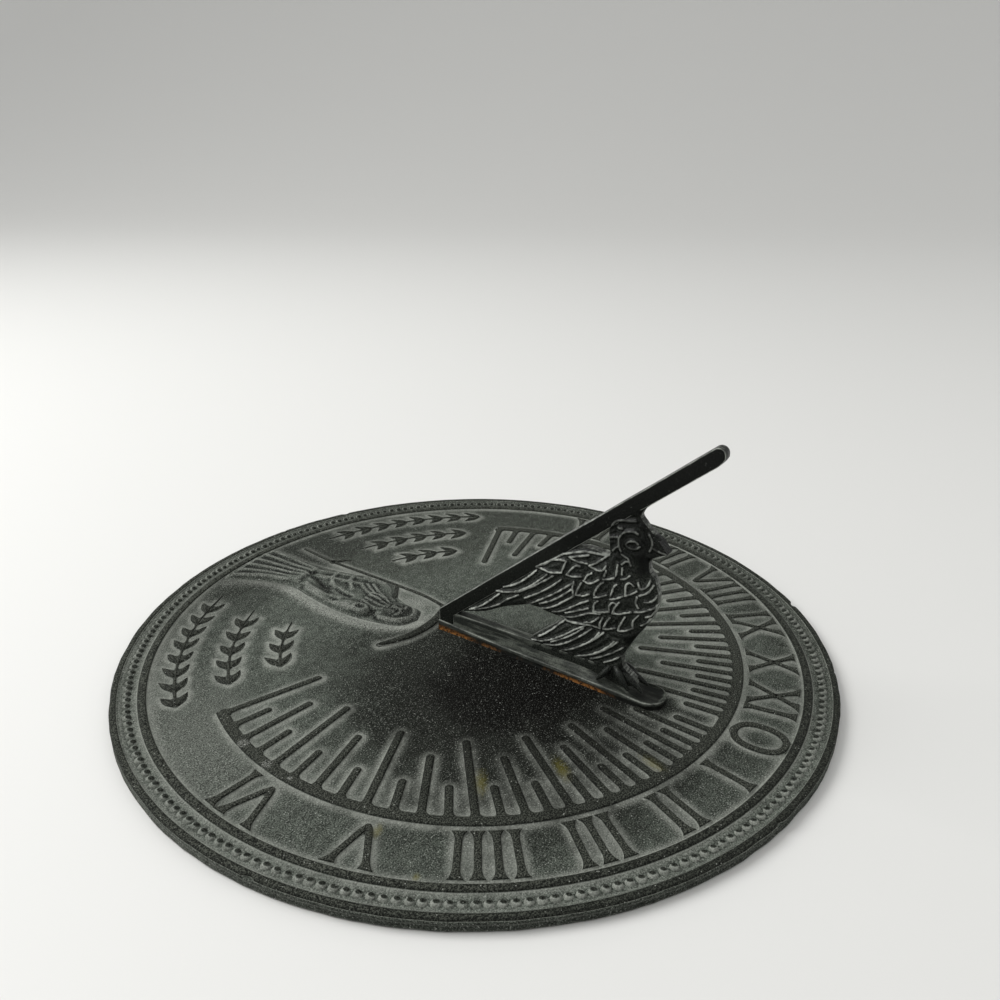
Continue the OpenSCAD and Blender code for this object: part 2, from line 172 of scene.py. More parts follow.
def smoothShading(mesh, sharp):
    mesh.polygons.foreach_set("use_smooth", [True] * len(mesh.polygons))
    mesh.set_sharp_from_angle(angle=math.radians(sharp))


def makePiece(name, points, faces, material, slotName, sharp=38, **values):
    piece = meshObject(name, points, faces, values)
    piece.data.validate()
    faceOutward(piece.data)
    smoothShading(piece.data, sharp)
    piece.data.materials.append(material)
    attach(piece, "root")
    return piece


def settle(piece):
    # what the modifiers make becomes the piece's own plain mesh
    bpy.context.view_layer.update()
    solved = piece.evaluated_get(bpy.context.evaluated_depsgraph_get())
    plain = bpy.data.meshes.new_from_object(solved)
    plain.name = piece.name
    piece.modifiers.clear()
    piece.data = plain


class Parts:
    # gathers several closed forms into the mesh of one piece
    def __init__(self):
        self.points, self.faces, self.edge, self.count = [], [], [], 0

    def add(self, points, faces, edge, turn=0):
        c, s = math.cos(turn), math.sin(turn)
        p = np.asarray(points, float)
        self.points.append(np.column_stack([p[:, 0] * c - p[:, 1] * s, p[:, 0] * s + p[:, 1] * c, p[:, 2]]))
        self.faces += [[int(i) + self.count for i in f] for f in faces]
        self.edge.append(np.asarray(edge, float))
        self.count += len(p)

    def make(self, name, material, slotName, **more):
        points, edge = np.vstack(self.points), np.concatenate(self.edge)
        return makePiece(name, points, self.faces, material, slotName, edge=edge, **more)


def circleOf(radius, z, count, y=0.0):
    # a level ring of points, which is a single point where it has no radius
    a = np.arange(count if radius else 1) * 2 * np.pi / count
    return np.column_stack([radius * np.cos(a), radius * np.sin(a) + y, np.full(len(a), float(z))])


def ringMesh(rings, closed=False, capped=False):
    # joins rings of points; a ring may have one point, or twice as many as the one before it
    starts, faces, total = [], [], 0
    for ring in rings:
        starts.append(total)
        total += len(ring)
    pairs = [(i, i + 1) for i in range(len(rings) - 1)]
    if closed:
        pairs.append((len(rings) - 1, 0))
    for i, k in pairs:
        a, b, n, m = starts[i], starts[k], len(rings[i]), len(rings[k])
        for j in range(max(n, m) if min(n, m) == 1 else min(n, m)):
            if n == m:
                faces.append((a + j, b + j, b + (j + 1) % m, a + (j + 1) % n))
            elif n == 1:
                faces.append((a, b + j, b + (j + 1) % m))
            elif m == 1:
                faces.append((a + j, b, a + (j + 1) % n))
            else:
                p, q, r, after = b + 2 * j, b + 2 * j + 1, b + (2 * j + 2) % m, a + (j + 1) % n
                faces += [(a + j, p, q), (a + j, q, after), (after, q, r)]
    if capped:
        faces += [tuple(range(len(rings[0]))), tuple(range(total - 1, total - 1 - len(rings[-1]), -1))]
    return np.vstack(rings), faces


def sheetSolid(flat, quads, front, back):
    # closes a flat net of quads into a solid between a front and a back height
    n = len(flat)
    points = np.vstack([np.column_stack([flat, front]), np.column_stack([flat, back])])
    faces = [tuple(q) for q in quads] + [tuple(i + n for i in q[::-1]) for q in quads]
    used = {}
    for q in quads:
        for a, b in zip(q, (q[1], q[2], q[3], q[0])):
            used[(a, b)] = True
    faces += [(b, a, a + n, b + n) for a, b in used if (b, a) not in used]
    return points, faces


def gridNet(low, high, cell, keep):
    # square net over a box; keep(x, y) says which points stay, and a quad needs all four of its points
    xs, ys = np.arange(low[0], high[0], cell), np.arange(low[1], high[1], cell)
    x, y = np.meshgrid(xs, ys, indexing="ij")
    ok = keep(x, y)
    i, j = np.nonzero(ok[:-1, :-1] & ok[1:, :-1] & ok[1:, 1:] & ok[:-1, 1:])
    first = i * len(ys) + j
    quads = np.column_stack([first, first + len(ys), first + len(ys) + 1, first + 1])
    kept, new = np.unique(quads, return_inverse=True)
    return np.column_stack([x.ravel(), y.ravel()])[kept], new.reshape(quads.shape)


def raisedForm(outline, layers, strip=False):
    # a cast form with drafted sides: each layer is (inset, height, distance from the form's edge);
    # the outline of a strip goes up one side and back down the other, with as many points
    outline = np.asarray(outline, float)
    x, y = outline[:, 0], outline[:, 1]
    if (x * np.roll(y, -1) - np.roll(x, -1) * y).sum() < 0:
        outline = outline[::-1]
    sides = []
    for way in (outline - np.roll(outline, 1, axis=0), np.roll(outline, -1, axis=0) - outline):
        length = np.maximum(np.linalg.norm(way, axis=1), 1e-9)[:, None]
        sides.append(np.column_stack([-way[:, 1], way[:, 0]]) / length)
    inward = (sides[0] + sides[1]) / np.maximum(1 + (sides[0] * sides[1]).sum(1), 0.45)[:, None]
    n, rings, edge = len(outline), [], []
    for inset, height, distance in layers[::-1]:
        rings.append(np.column_stack([outline + inward * inset, np.full(n, height)]))
        edge += [distance] * n
    points, faces = ringMesh(rings, capped=True)
    if strip:
        faces[-2:-1] = [(i, i + 1, n - 2 - i, n - 1 - i) for i in range(n // 2 - 1)]
    return points, faces, edge


def repeatPiece(name, points, turns, pattern, material, settings):
    # Geometry Nodes: one copy of the pattern on every point, turned by the point's own angle
    carrier = meshObject(name, points, [], {"turn": turns})
    tree = bpy.data.node_groups.new(name + "Repeat", "GeometryNodeTree")
    tree.interface.new_socket("Geometry", in_out="INPUT", socket_type="NodeSocketGeometry")
    wanted = {
        "Pattern": ("NodeSocketObject", pattern),
        "Size variation": ("NodeSocketFloat", settings["variation"]),
        "Turn variation": ("NodeSocketFloat", settings["turnVariation"]),
        "Seed": ("NodeSocketInt", settings["seed"]),
        "Finish": ("NodeSocketMaterial", material)}
    sockets = {}
    for key, (kind, value) in wanted.items():
        sockets[key] = tree.interface.new_socket(key, in_out="INPUT", socket_type=kind)
    tree.interface.new_socket("Geometry", in_out="OUTPUT", socket_type="NodeSocketGeometry")
    given = addNode(tree, "NodeGroupInput").outputs
    swing, seed = given["Turn variation"], given["Seed"]
    angle = addNode(tree, "GeometryNodeInputNamedAttribute", {"Name": "turn"}, data_type="FLOAT")
    less = addNode(tree, "ShaderNodeMath", {0: 1.0, 1: given["Size variation"]}, operation="SUBTRACT")
    grow = addNode(tree, "FunctionNodeRandomValue", {2: less.outputs[0], 3: 1.0, "Seed": seed},
                   data_type="FLOAT")
    back = addNode(tree, "ShaderNodeMath", {0: swing, 1: -1.0}, operation="MULTIPLY")
    sway = addNode(tree, "FunctionNodeRandomValue", {2: back.outputs[0], 3: swing, "Seed": seed},
                   data_type="FLOAT")
    whole = addNode(tree, "ShaderNodeMath", {0: angle.outputs["Attribute"], 1: sway.outputs[1]}, operation="ADD")
    euler = addNode(tree, "ShaderNodeCombineXYZ", {"Z": whole.outputs[0]})
    shape = addNode(tree, "GeometryNodeObjectInfo", {"Object": given["Pattern"], "As Instance": True})
    copies = addNode(tree, "GeometryNodeInstanceOnPoints", {
        "Points": given["Geometry"], "Instance": shape.outputs["Geometry"],
        "Rotation": euler.outputs[0], "Scale": grow.outputs[1]})
    real = addNode(tree, "GeometryNodeRealizeInstances", {"Geometry": copies.outputs[0]})
    coat = addNode(tree, "GeometryNodeSetMaterial", {"Geometry": real.outputs[0], "Material": given["Finish"]})
    addNode(tree, "NodeGroupOutput", {"Geometry": coat.outputs[0]})
    modifier = carrier.modifiers.new("repeat", "NODES")
    modifier.node_group = tree
    for key, (kind, value) in wanted.items():
        modifier[sockets[key].identifier] = value
    settle(carrier)
    smoothShading(carrier.data, 40)
    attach(carrier, "root")
    bpy.data.objects.remove(pattern)
    return carrier


def patternObject(name, points, faces, edge):
    # a shape to be repeated; it is only read by the tree and removed afterwards
    shape = meshObject(name, points, faces, {"edge": edge})
    faceOutward(shape.data)
    shape.hide_render = True
    return shape


# Finishes

def newFinish(name):
    # an empty material with its shader, and places on the piece in millimetres
    material = bpy.data.materials.new(name)
    material.use_nodes = True
    tree = material.node_tree
    tree.nodes.clear()
    shader = addNode(tree, "ShaderNodeBsdfPrincipled")
    addNode(tree, "ShaderNodeOutputMaterial", {"Surface": shader.outputs[0]})
    metres = addNode(tree, "ShaderNodeTexCoord").outputs["Object"]
    place = addNode(tree, "ShaderNodeVectorMath", {0: metres, 1: (1000, 1000, 1000)}, operation="MULTIPLY")
    return material, tree, shader, place.outputs[0]


def readSurface(tree, place, noises, kept=()):
    # the finish's noises, each (waves in a millimetre, detail, roughness), then the values on the mesh
    read = []
    for scale, detail, rough in noises:
        settings = {"Vector": place, "Scale": scale, "Detail": detail, "Roughness": rough}
        read.append(addNode(tree, "ShaderNodeTexNoise", settings).outputs["Fac"])
    for name in kept:
        read.append(addNode(tree, "ShaderNodeAttribute", attribute_name=name).outputs["Fac"])
    return read


def coverOf(tree, *limits):
    # how far a layer covers: each limit goes from low to high, eased, and they are multiplied;
    # a limit is (value, low, high) or (value, low, high, cover at low, cover at high), or a cover itself
    whole = None
    for limit in limits:
        if isinstance(limit, tuple):
            value, low, high = limit[:3]
            atLow, atHigh = limit[3:] or (0, 1)
            reach = {"Value": value, "From Min": low, "From Max": high, "To Min": atLow, "To Max": atHigh}
            limit = addNode(tree, "ShaderNodeMapRange", reach, interpolation_type="SMOOTHSTEP").outputs[0]
        if whole is not None:
            limit = addNode(tree, "ShaderNodeMath", {0: whole, 1: limit}, operation="MULTIPLY").outputs[0]
        whole = limit
    return whole


def layOver(tree, under, over, *limits):
    # lays one colour over another where its limits let it cover
    under, over = [linearColour(c) if isinstance(c, str) else c for c in (under, over)]
    cover = coverOf(tree, *limits)
    return addNode(tree, "ShaderNodeMix", {0: cover, 6: under, 7: over}, data_type="RGBA").outputs[2]


def swayed(tree, value, *noises):
    # lets a value wander round itself by each noise's whole swing
    for noise, swing in noises:
        off = addNode(tree, "ShaderNodeMath", {0: noise, 1: 0.5}, operation="SUBTRACT").outputs[0]
        off = addNode(tree, "ShaderNodeMath", {0: off, 1: swing}, operation="MULTIPLY").outputs[0]
        value = addNode(tree, "ShaderNodeMath", {0: value, 1: off}, operation="ADD").outputs[0]
    return value


def finishSurface(tree, shader, colour, rough, relief, strength, depth):
    tree.links.new(colour, shader.inputs["Base Color"])
    tree.links.new(rough, shader.inputs["Roughness"])
    bump = addNode(tree, "ShaderNodeBump", {"Height": relief, "Strength": strength, "Distance": depth * mm})
    tree.links.new(bump.outputs[0], shader.inputs["Normal"])


# the ground's near, middle and far tones run outward from the centre by the gnomon; the near black there is
# painted shade and a painted reflection of the dark gnomon
plateLook = {"near": "#080806", "middle": "#2a2d28", "far": "#5c625a", "outer": "#42463f", "outline": "#959890",
             "raisedInPaintedShade": "#040403", "raised": "#131512", "raisedWorn": "#54574f", "speck": "#b0b3ab",
             "ochre": "#6a6424", "lime": "#b9bbb4", "dustMm": 3.4, "centre": (15, 30, 3.5), "specular": 0.05,
             "bump": 0.9, "bumpMm": 0.4,
             # wide, middle, fine, sand grain of 0.45 mm, blotches and patches of grit
             "noises": ((0.02, 3, 0.55), (0.13, 4, 0.55), (0.9, 4, 0.65), (1 / 0.45, 2, 0.8), (0.32, 3, 0.6),
                        (0.3, 2, 0.55))}
# ochre stains as (toward the afternoon, toward noon, long way, short way, degrees clockwise from noon)
stains = ((64, 44, 6, 2.2, 56), (46, 61, 6, 2.5, 38), (29, 83, 5.5, 2.2, 19), (95, 31, 3, 1.6, 72),
          (102, 49.6, 1.5, 1.2, 64))
# thin lime splashes as (toward the afternoon, toward noon, size)
limeChips = ((92.7, -13.2, 1.8), (89.9, -26.2, 1.9), (93.4, -3, 0.8), (74, -16, 0.9))


def patinatedPlateIron():
    # Cast iron, blackened and waxed, then worn outdoors: satin black on the high places,
    # greyer and dusty in the low ones, with a pale soft line of dust along the foot of each form.
    look = plateLook
    material, tree, shader, place = newFinish("Blackened cast iron, weathered")
    wide, middle, fine, grain, blotch, patchy, edge, pale, dark = readSurface(
        tree, place, look["noises"], ("edge", "pale", "dark"))
    # painted shade and a painted reflection of the dark gnomon: near black by it, greyer away from it, and
    # further off on the morning side
    apart = addNode(tree, "ShaderNodeVectorMath", {0: place, 1: look["centre"]}, operation="DISTANCE")
    morning = addNode(tree, "ShaderNodeSeparateXYZ", {0: place}).outputs["X"]
    further = coverOf(tree, (morning, 2, -12, 0, 34))
    apart = addNode(tree, "ShaderNodeMath", {0: apart.outputs["Value"], 1: further}, operation="ADD").outputs[0]
    apart = swayed(tree, apart, (middle, 40), (wide, 36))
    ground = layOver(tree, look["near"], look["middle"], (apart, 14, 52))
    ground = layOver(tree, ground, look["far"], (apart, 50, 88))
    ground = layOver(tree, ground, look["outer"], (apart, 116, 138, 0, 0.7))
    # soft blotches, then dust that settled along the forms, both broken up by the grain
    ground = layOver(tree, ground, look["near"], (blotch, 0.62, 0.38, 0, 0.35))
    loose = swayed(tree, edge, (fine, 2.4))
    # the dust is kept thin by the gnomon, so the painted shade there stays dark
    dust = coverOf(tree, (loose, look["dustMm"], 0), (edge, -0.05, 0.2), (middle, 0.25, 0.65, 0.4, 0.85),
                   (apart, 25, 80, 0.25, 1))
    rubbed = coverOf(tree, (fine, 0.3, 0.6, 0.65, 1), pale)
    dust = addNode(tree, "ShaderNodeMath", {0: dust, 1: rubbed}, operation="MAXIMUM").outputs[0]
    colour = layOver(tree, ground, look["outline"], dust)
    colour = layOver(tree, colour, look["raised"], dark)
    # dark and pale grains, strongest in the middle of the open ground
    colour = layOver(tree, colour, look["near"], (grain, 0.52, 0.4, 0, 0.8), (edge, 0.2, 3.5, 0.35, 1))
    colour = layOver(tree, colour, look["speck"], (grain, 0.58, 0.67), (fine, 0.4, 0.56, 0.35, 1),
                     (apart, 10, 50, 0.34, 0.56))
    # raised forms: black by the gnomon, a painted shade and painted reflection as on the ground, and on their
    # sides; worn grainy and greyer on top further out
    body = layOver(tree, look["raisedInPaintedShade"], look["raised"], (apart, 25, 75))
    body = layOver(tree, body, look["raisedWorn"], (edge, -0.05, -0.5, 0.4, 1), (grain, 0.44, 0.62),
                   (apart, 20, 80, 0.3, 1))
    colour = layOver(tree, colour, body, (edge, 0.12, -0.12))
    # lime and grit in patches
    cells = addNode(tree, "ShaderNodeTexVoronoi", {"Vector": place, "Scale": 0.75, "Randomness": 1.0})
    colour = layOver(tree, colour, look["speck"], (cells.outputs["Distance"], 0.17, 0.06, 0, 0.75),
                     (patchy, 0.46, 0.6, 0.12, 1))
    for x, y, long, short, turn in stains:
        oval = {"Vector": place, "Location": (x, y, 0), "Rotation": (0, 0, math.radians(90 - turn)),
                "Scale": (long, short, 200)}
        at = addNode(tree, "ShaderNodeMapping", oval, vector_type="TEXTURE").outputs[0]
        spot = addNode(tree, "ShaderNodeVectorMath", {0: at}, operation="LENGTH").outputs["Value"]
        spot = swayed(tree, spot, (fine, 1.6))
        colour = layOver(tree, colour, look["ochre"], (spot, 1.3, 0, 0, 0.42), (edge, -0.3, 0.4, 0.25, 1))
    # splashes are thin threads, where a twisted noise is near its middle
    twisted = {"Vector": place, "Scale": 0.9, "Detail": 1.0, "Distortion": 2.5}
    splash = addNode(tree, "ShaderNodeTexNoise", twisted).outputs["Fac"]
    thread = coverOf(tree, (splash, 0.465, 0.49), (splash, 0.535, 0.51))
    for x, y, size in limeChips:
        spot = addNode(tree, "ShaderNodeVectorMath", {0: place, 1: (x, y, dial["height"])}, operation="DISTANCE")
        chip = (spot.outputs["Value"], 1.3 * size, 0.6 * size, 0, 0.85)
        colour = layOver(tree, colour, look["lime"], chip, thread)
    rough = swayed(tree, coverOf(tree, (edge, -0.3, 0.4, 0.575, 0.715)), (fine, 0.16), (dust, 0.15))
    shader.inputs["Specular IOR Level"].default_value = look["specular"]
    # sand casting grain
    finishSurface(tree, shader, colour, rough, swayed(tree, fine, (grain, 0.6)), look["bump"], look["bumpMm"])
    return material


gnomonLook = {"base": "#050605", "worn": "#474b45", "rib": "#aeb2aa", "corner": "#a4a8a0", "speck": "#8b8f88",
              "specular": 0.1, "bump": 0.6, "bumpMm": 0.3,
              "noises": ((0.35, 3, 0.55), (0.9, 4, 0.65), (3, 2, 0.8))}


def satinGnomonIron():
    # The same iron, handled less: near black and satin, with high ribs and edges worn to grey, and painted
    # highlights along them.
    look = gnomonLook
    material, tree, shader, place = newFinish("Blackened cast iron, satin")
    middle, fine, grain, line, edge = readSurface(tree, place, look["noises"], ("line", "edge"))
    # the head, close under the style, is hardly rubbed
    handled = (addNode(tree, "ShaderNodeSeparateXYZ", {0: place}).outputs["Z"], 57, 46, 0.34, 1)
    # greyer and grainy between the ribs, where hands have rubbed the feathers, together with a painted
    # reflection off the rounded feathers
    colour = layOver(tree, look["base"], look["worn"], (grain, 0.42, 0.62), (line, 3.6, 1, 0.25, 1),
                     (line, 0.35, 0.8, 0.1, 1), handled)
    # pale ribs: worn high places, and a painted highlight along each rib
    rib = swayed(tree, line, (fine, 0.8))
    colour = layOver(tree, colour, look["rib"], (rib, 0.46, 0.12), (middle, 0.38, 0.6, 0.3, 1), handled)
    # pale edges: worn, and a painted highlight where a rounded edge catches the lamp
    corner = swayed(tree, edge, (fine, 0.5))
    colour = layOver(tree, colour, look["corner"], (corner, 0.35, 0.05), (middle, 0.35, 0.6, 0.4, 0.9))
    cells = addNode(tree, "ShaderNodeTexVoronoi", {"Vector": place, "Scale": 0.9, "Randomness": 1.0})
    colour = layOver(tree, colour, look["speck"], (cells.outputs["Distance"], 0.13, 0.06),
                     (middle, 0.45, 0.6, 0, 0.6))
    shader.inputs["Specular IOR Level"].default_value = look["specular"]
    rough = swayed(tree, 0.325, (fine, 0.25))
    finishSurface(tree, shader, colour, rough, fine, look["bump"], look["bumpMm"])
    return material


footLook = {"base": "#30332f", "pale": "#60645c", "dark": "#0a0b09", "corner": "#9c9f97", "rust": "#80552a",
            "rustPale": "#ad8048", "rustDark": "#24170e", "specular": 0.12, "bump": 0.7, "bumpMm": 0.3,
            "noises": ((0.14, 4, 0.55), (0.9, 4, 0.65), (3, 2, 0.8))}


def rustedFootIron():
    # The foot holds water where it meets the plate, so rust has crept up its lower edge.
    look = footLook
    material, tree, shader, place = newFinish("Blackened cast iron, rusting at the joint")
    middle, fine, grain, edge, low = readSurface(tree, place, look["noises"], ("edge", "low"))
    along = addNode(tree, "ShaderNodeSeparateXYZ", {0: place}).outputs["Y"]
    # long scuffs that run with the foot
    drawn = addNode(tree, "ShaderNodeMapping", {"Vector": place, "Scale": (1.1, 0.12, 1.1)}).outputs[0]
    scuff = addNode(tree, "ShaderNodeTexNoise", {"Vector": drawn, "Scale": 0.8, "Detail": 4.0}).outputs["Fac"]
    colour = layOver(tree, look["base"], look["pale"], (scuff, 0.4, 0.62))
    colour = layOver(tree, colour, look["base"], (middle, 0.55, 0.4, 0, 0.5))
    colour = layOver(tree, colour, look["dark"], (grain, 0.5, 0.36, 0, 0.7))
    # darker low on the sides, and painted shade in the hollow at the nose
    colour = layOver(tree, colour, look["dark"], (low, 0.15, 0.7, 0, 0.9))
    # pale edges: worn, and a painted highlight along the rounded edges
    corner = swayed(tree, edge, (fine, 0.4))
    colour = layOver(tree, colour, look["corner"], (corner, 0.3, 0.02), (scuff, 0.4, 0.6, 0.25, 0.7))
    # rust is strongest at the root and below the bird
    root, below = coverOf(tree, (along, 4, -8)), coverOf(tree, (along, 35, 41), (along, 58, 50))
    patchy = coverOf(tree, (middle, 0.48, 0.66, 0, 0.5))
    strength = addNode(tree, "ShaderNodeMath", {0: root, 1: below}, operation="MAXIMUM").outputs[0]
    strength = addNode(tree, "ShaderNodeMath", {0: strength, 1: patchy}, operation="ADD", use_clamp=True)
    rust = coverOf(tree, (swayed(tree, low, (fine, 1.3)), 0.4, 0.85), (along, 64, 58), strength.outputs[0])
    rusty = layOver(tree, look["rust"], look["rustDark"], (fine, 0.44, 0.58))
    rusty = layOver(tree, rusty, look["rustPale"], (grain, 0.58, 0.72, 0, 0.7))
    colour = layOver(tree, colour, rusty, rust)
    rough = swayed(tree, 0.61, (fine, 0.2), (rust, 0.3))
    shader.inputs["Specular IOR Level"].default_value = look["specular"]
    finishSurface(tree, shader, colour, rough, fine, look["bump"], look["bumpMm"])
    return material


screwLook = {"dull": "#8c8f90", "bright": "#aeb0ae", "bump": 0.2, "bumpMm": 0.05, "noises": ((1.5, 3, 0.55),)}


def zincedScrewSteel():
    # Zinc plated mild steel: a grey metal with a brushed, slightly cloudy shine.
    look = screwLook
    material, tree, shader, place = newFinish("Zinc plated steel")
    cloud = readSurface(tree, place, look["noises"])[0]
    colour = layOver(tree, look["dull"], look["bright"], (cloud, 0.3, 0.7))
    shader.inputs["Metallic"].default_value = 1.0
    rough = swayed(tree, 0.38, (cloud, 0.2))
    finishSurface(tree, shader, colour, rough, cloud, look["bump"], look["bumpMm"])
    return material


plateIron = patinatedPlateIron()
gnomonIron = satinGnomonIron()
footIron = rustedFootIron()
screwSteel = zincedScrewSteel()
print("finishes made")


# Places on the dial

hours = {"arcOut": 95.3, "arcWidth": 3.7, "markWidth": 2.5, "hour": 33, "half": 25, "quarter": 12.6, "last": 7,
         "flare": 0.9}
band = {"inner": 96.4, "outer": 115.2, "from": 97.0, "to": 113.9, "armShort": 1.5, "armApart": 0.15,
        "draft": 0.52, "stroke": 2.1, "pitch": 5.4, "wide": 11, "flare": 0.9, "noonWidth": 14.4, "pull": 2.4}
leaves = {"length": 8.4, "width": 3.4, "lean": 32, "pitch": 8.2, "stem": 1.1, "rowStep": 17.5, "rows": 3,
          "from": 123.7, "to": 161, "shorter": 4}
arcIn = hours["arcOut"] - hours["arcWidth"]
arcMid = hours["arcOut"] - hours["arcWidth"] / 2


def hourAngle(hour):
    sun, latitude = math.radians(15 * hour), math.radians(dial["latitude"])
    return math.atan2(math.sin(latitude) * math.sin(sun), math.cos(sun))


def hourReach(hour, radius):
    a, c = hourAngle(hour), dial["centreBack"]
    return c * math.cos(a) + math.sqrt(radius ** 2 - (c * math.sin(a)) ** 2)


def hourPoint(hour, reach):
    a = hourAngle(hour)
    return np.array([reach * math.sin(a), reach * math.cos(a) - dial["centreBack"]])


def hourPlace(hour, radius):
    p = hourPoint(hour, hourReach(hour, radius))
    return math.degrees(math.atan2(p[0], p[1]))


marks = []
for quarter in range(-4 * hours["last"], 4 * hours["last"] + 1):
    if quarter:
        kind = "hour" if quarter % 4 == 0 else "half" if quarter % 2 == 0 else "quarter"
        marks.append((kind, quarter / 4))
sweep = hourPlace(hours["last"], arcMid)


# strokes of the numerals as (name of shape, turn from noon in degrees, inner x, outer x)
numeralMid = (band["inner"] + band["outer"]) / 2
strokes = []
numeralNames = ["VI", "VII", "VIII", "IX", "X", "XI", "", "I", "II", "III", "IIII", "V", "VI"]
for hour, name in zip(range(-6, 7), numeralNames):
    # the further from noon, the more a numeral stands back from its hour line
    centre = hourPlace(hour, numeralMid) - math.copysign(band["pull"], hour) * (hour / 6) ** 2
    room = [band["pitch"] if letter == "I" else band["wide"] + band["stroke"] for letter in name]
    half, apart = band["wide"] / 2, band["armApart"]
    for i, letter in enumerate(name):
        at = centre + math.degrees((sum(room[:i]) + room[i] / 2 - sum(room) / 2) / numeralMid)
        if letter == "I":
            strokes.append(("bar", at, 0, 0))
        elif letter == "V":
            strokes += [("arm", at, apart, half), ("arm", at, -apart, -half)]
        else:
            strokes += [("bar", at, -half, half - band["flare"]), ("bar", at, half, -half + band["flare"])]

# leaves as (root, direction in radians), stems as (radius, first angle, last angle)
leafRoots, stems = [], []
for row in range(leaves["rows"]):
    radius = (band["outer"] + hours["arcOut"]) / 2 + leaves["stem"] - row * leaves["rowStep"]
    first, last = leaves["from"] + leaves["shorter"] * row, leaves["to"] - leaves["shorter"] * row
    count = math.floor(math.radians(last - first) * radius / leaves["pitch"])
    for side in (1, -1):
        stems.append((radius, side * first, side * last))
        for i in range(count):
            angle = first + (last - first) / count * i
            for edge in (-1, 1):
                root = clockwise(radius + edge * leaves["stem"] / 4, side * angle)
                lean = side * (-math.pi / 2 + edge * math.radians(leaves["lean"]))
                leafRoots.append((root, math.radians(90 - side * angle) + lean))

# outline of the figure, and the scythe's lines; dark hollows are (x, y, half width, half length, depth)
figure = {"cell": 0.42, "box": ((-20, -116), (23, -22)), "back": 2.4, "margin": 1.3, "scytheWidth": 1.7,
          "bladeHalf": 1.6, "bladeHeight": 1.2,
          "shades": ((3.4, -34.5, 6.8, 8.2, 0.9), (3.0, -45, 4.2, 5.5, 0.85), (9.8, -48.5, 3.0, 3.4, 0.75),
                     (-8.5, -45, 2.2, 2.4, 0.7), (6.5, -72, 4.5, 9, 0.7), (0, -108, 14, 5, 0.35))}
figureOutline = smoothCurve([
    (3, -25.5), (9.5, -28.5), (12, -35), (13.8, -44), (14.6, -54), (13.6, -64), (12, -74), (10.2, -83),
    (11.5, -92), (14.6, -101), (18.2, -108), (20, -113.6), (6, -115), (-8, -114.6), (-9.5, -106), (-9, -96),
    (-9.5, -86), (-11, -76), (-13.2, -66), (-14, -57), (-12.5, -49), (-7, -43), (-4.5, -36), (-3.5, -29),
    (3, -25.5)], 5)[:-1]
handleLine = smoothCurve([
    (-10.9, -22.5), (-13.6, -34.6), (-14.4, -48.4), (-15, -66.8), (-15.6, -87.6), (-17.9, -103.7)], 8)
bladeLine = smoothCurve([
    (-10.5, -22.9), (-6, -21.5), (-1.5, -20.4), (5.2, -20.1), (13.4, -21.6), (20.2, -24.8), (23.6, -27.1)], 5)


def nearestForm(x, y):
    # distance on the ground to the nearest raised form, soft where two forms meet
    soft, outset, strokeEnd = 0.7, 0.25, 1.4
    total = np.zeros(np.shape(x))

    def take(distance):
        total[...] += np.exp(-np.clip(distance, -2, 12) / soft)

    def pastEnds(middle, spread):
        return np.maximum(np.abs(angle - middle) - spread, 0) * np.pi / 180 * radius

    radius, angle = np.hypot(x, y), np.degrees(np.arctan2(x, y))
    for kind, hour in marks:
        inner = hourPoint(hour, hourReach(hour, arcIn) - hours[kind] + hours["markWidth"] / 2)
        outer = hourPoint(hour, hourReach(hour, arcMid))
        take(segmentDistance(x, y, inner, outer)[0] - hours["markWidth"] / 2)
    take(np.hypot(np.maximum(np.abs(radius - arcMid) - hours["arcWidth"] / 2, -1), pastEnds(0, sweep)))
    take(band["outer"] - radius)
    for shape, at, xIn, xOut in strokes:
        c, s = math.cos(math.radians(-at)), math.sin(math.radians(-at))
        inner = band["from"] + (band["armShort"] if shape == "arm" else 0)
        lean = (xOut - xIn) / (band["to"] - inner)
        ends = [(xIn + strokeEnd * lean, inner + strokeEnd), (xOut - strokeEnd * lean, band["to"] - strokeEnd)]
        a, b = [(x0 * c - y0 * s, x0 * s + y0 * c) for x0, y0 in ends]
        take(segmentDistance(x, y, a, b)[0] - band["stroke"] / 2)
    # the noon ring's middle line, as an oval
    ring = np.hypot(x / 5.9, (y - numeralMid) / 8.1)
    take(np.abs(ring - 1) * 6.6 - 1.25)
    for root, heading in leafRoots:
        tip = root + leaves["length"] * np.array([math.cos(heading), math.sin(heading)])
        near, t = segmentDistance(x, y, root, tip)
        take(near - leaves["width"] / 2 * np.sin(np.pi * t ** 0.8))
    for radiusOf, first, last in stems:
        off = pastEnds((first + last) / 2, abs(last - first) / 2)
        take(np.hypot(radius - radiusOf, off) - leaves["stem"] / 2)
    take(-outlineDistance(x, y, figureOutline)[0])
    take(lineDistance(x, y, handleLine) - figure["scytheWidth"] / 2)
    take(lineDistance(x, y, bladeLine) - figure["bladeHalf"])
    return -soft * np.log(np.maximum(total, 1e-9)) + outset


# the low bank beside the figure, and paler and darker ground set by direction, as (middle clockwise from noon,
# spread, strength)
soil = {"rise": 0.24, "bank": 0.3, "bankHalf": 2.4, "paleArc": (112, 20, 0.32), "dust": (128, 34, 0.6),
        "shade": (182, 34, 0.42)}
bankLine = smoothCurve([(23, -109), (16.5, -101), (13.2, -92), (12.5, -84), (14.2, -75), (16.4, -64),
                        (17.2, -52), (16.2, -42), (13.6, -33), (9, -26.6), (3, -23.8)], 5)


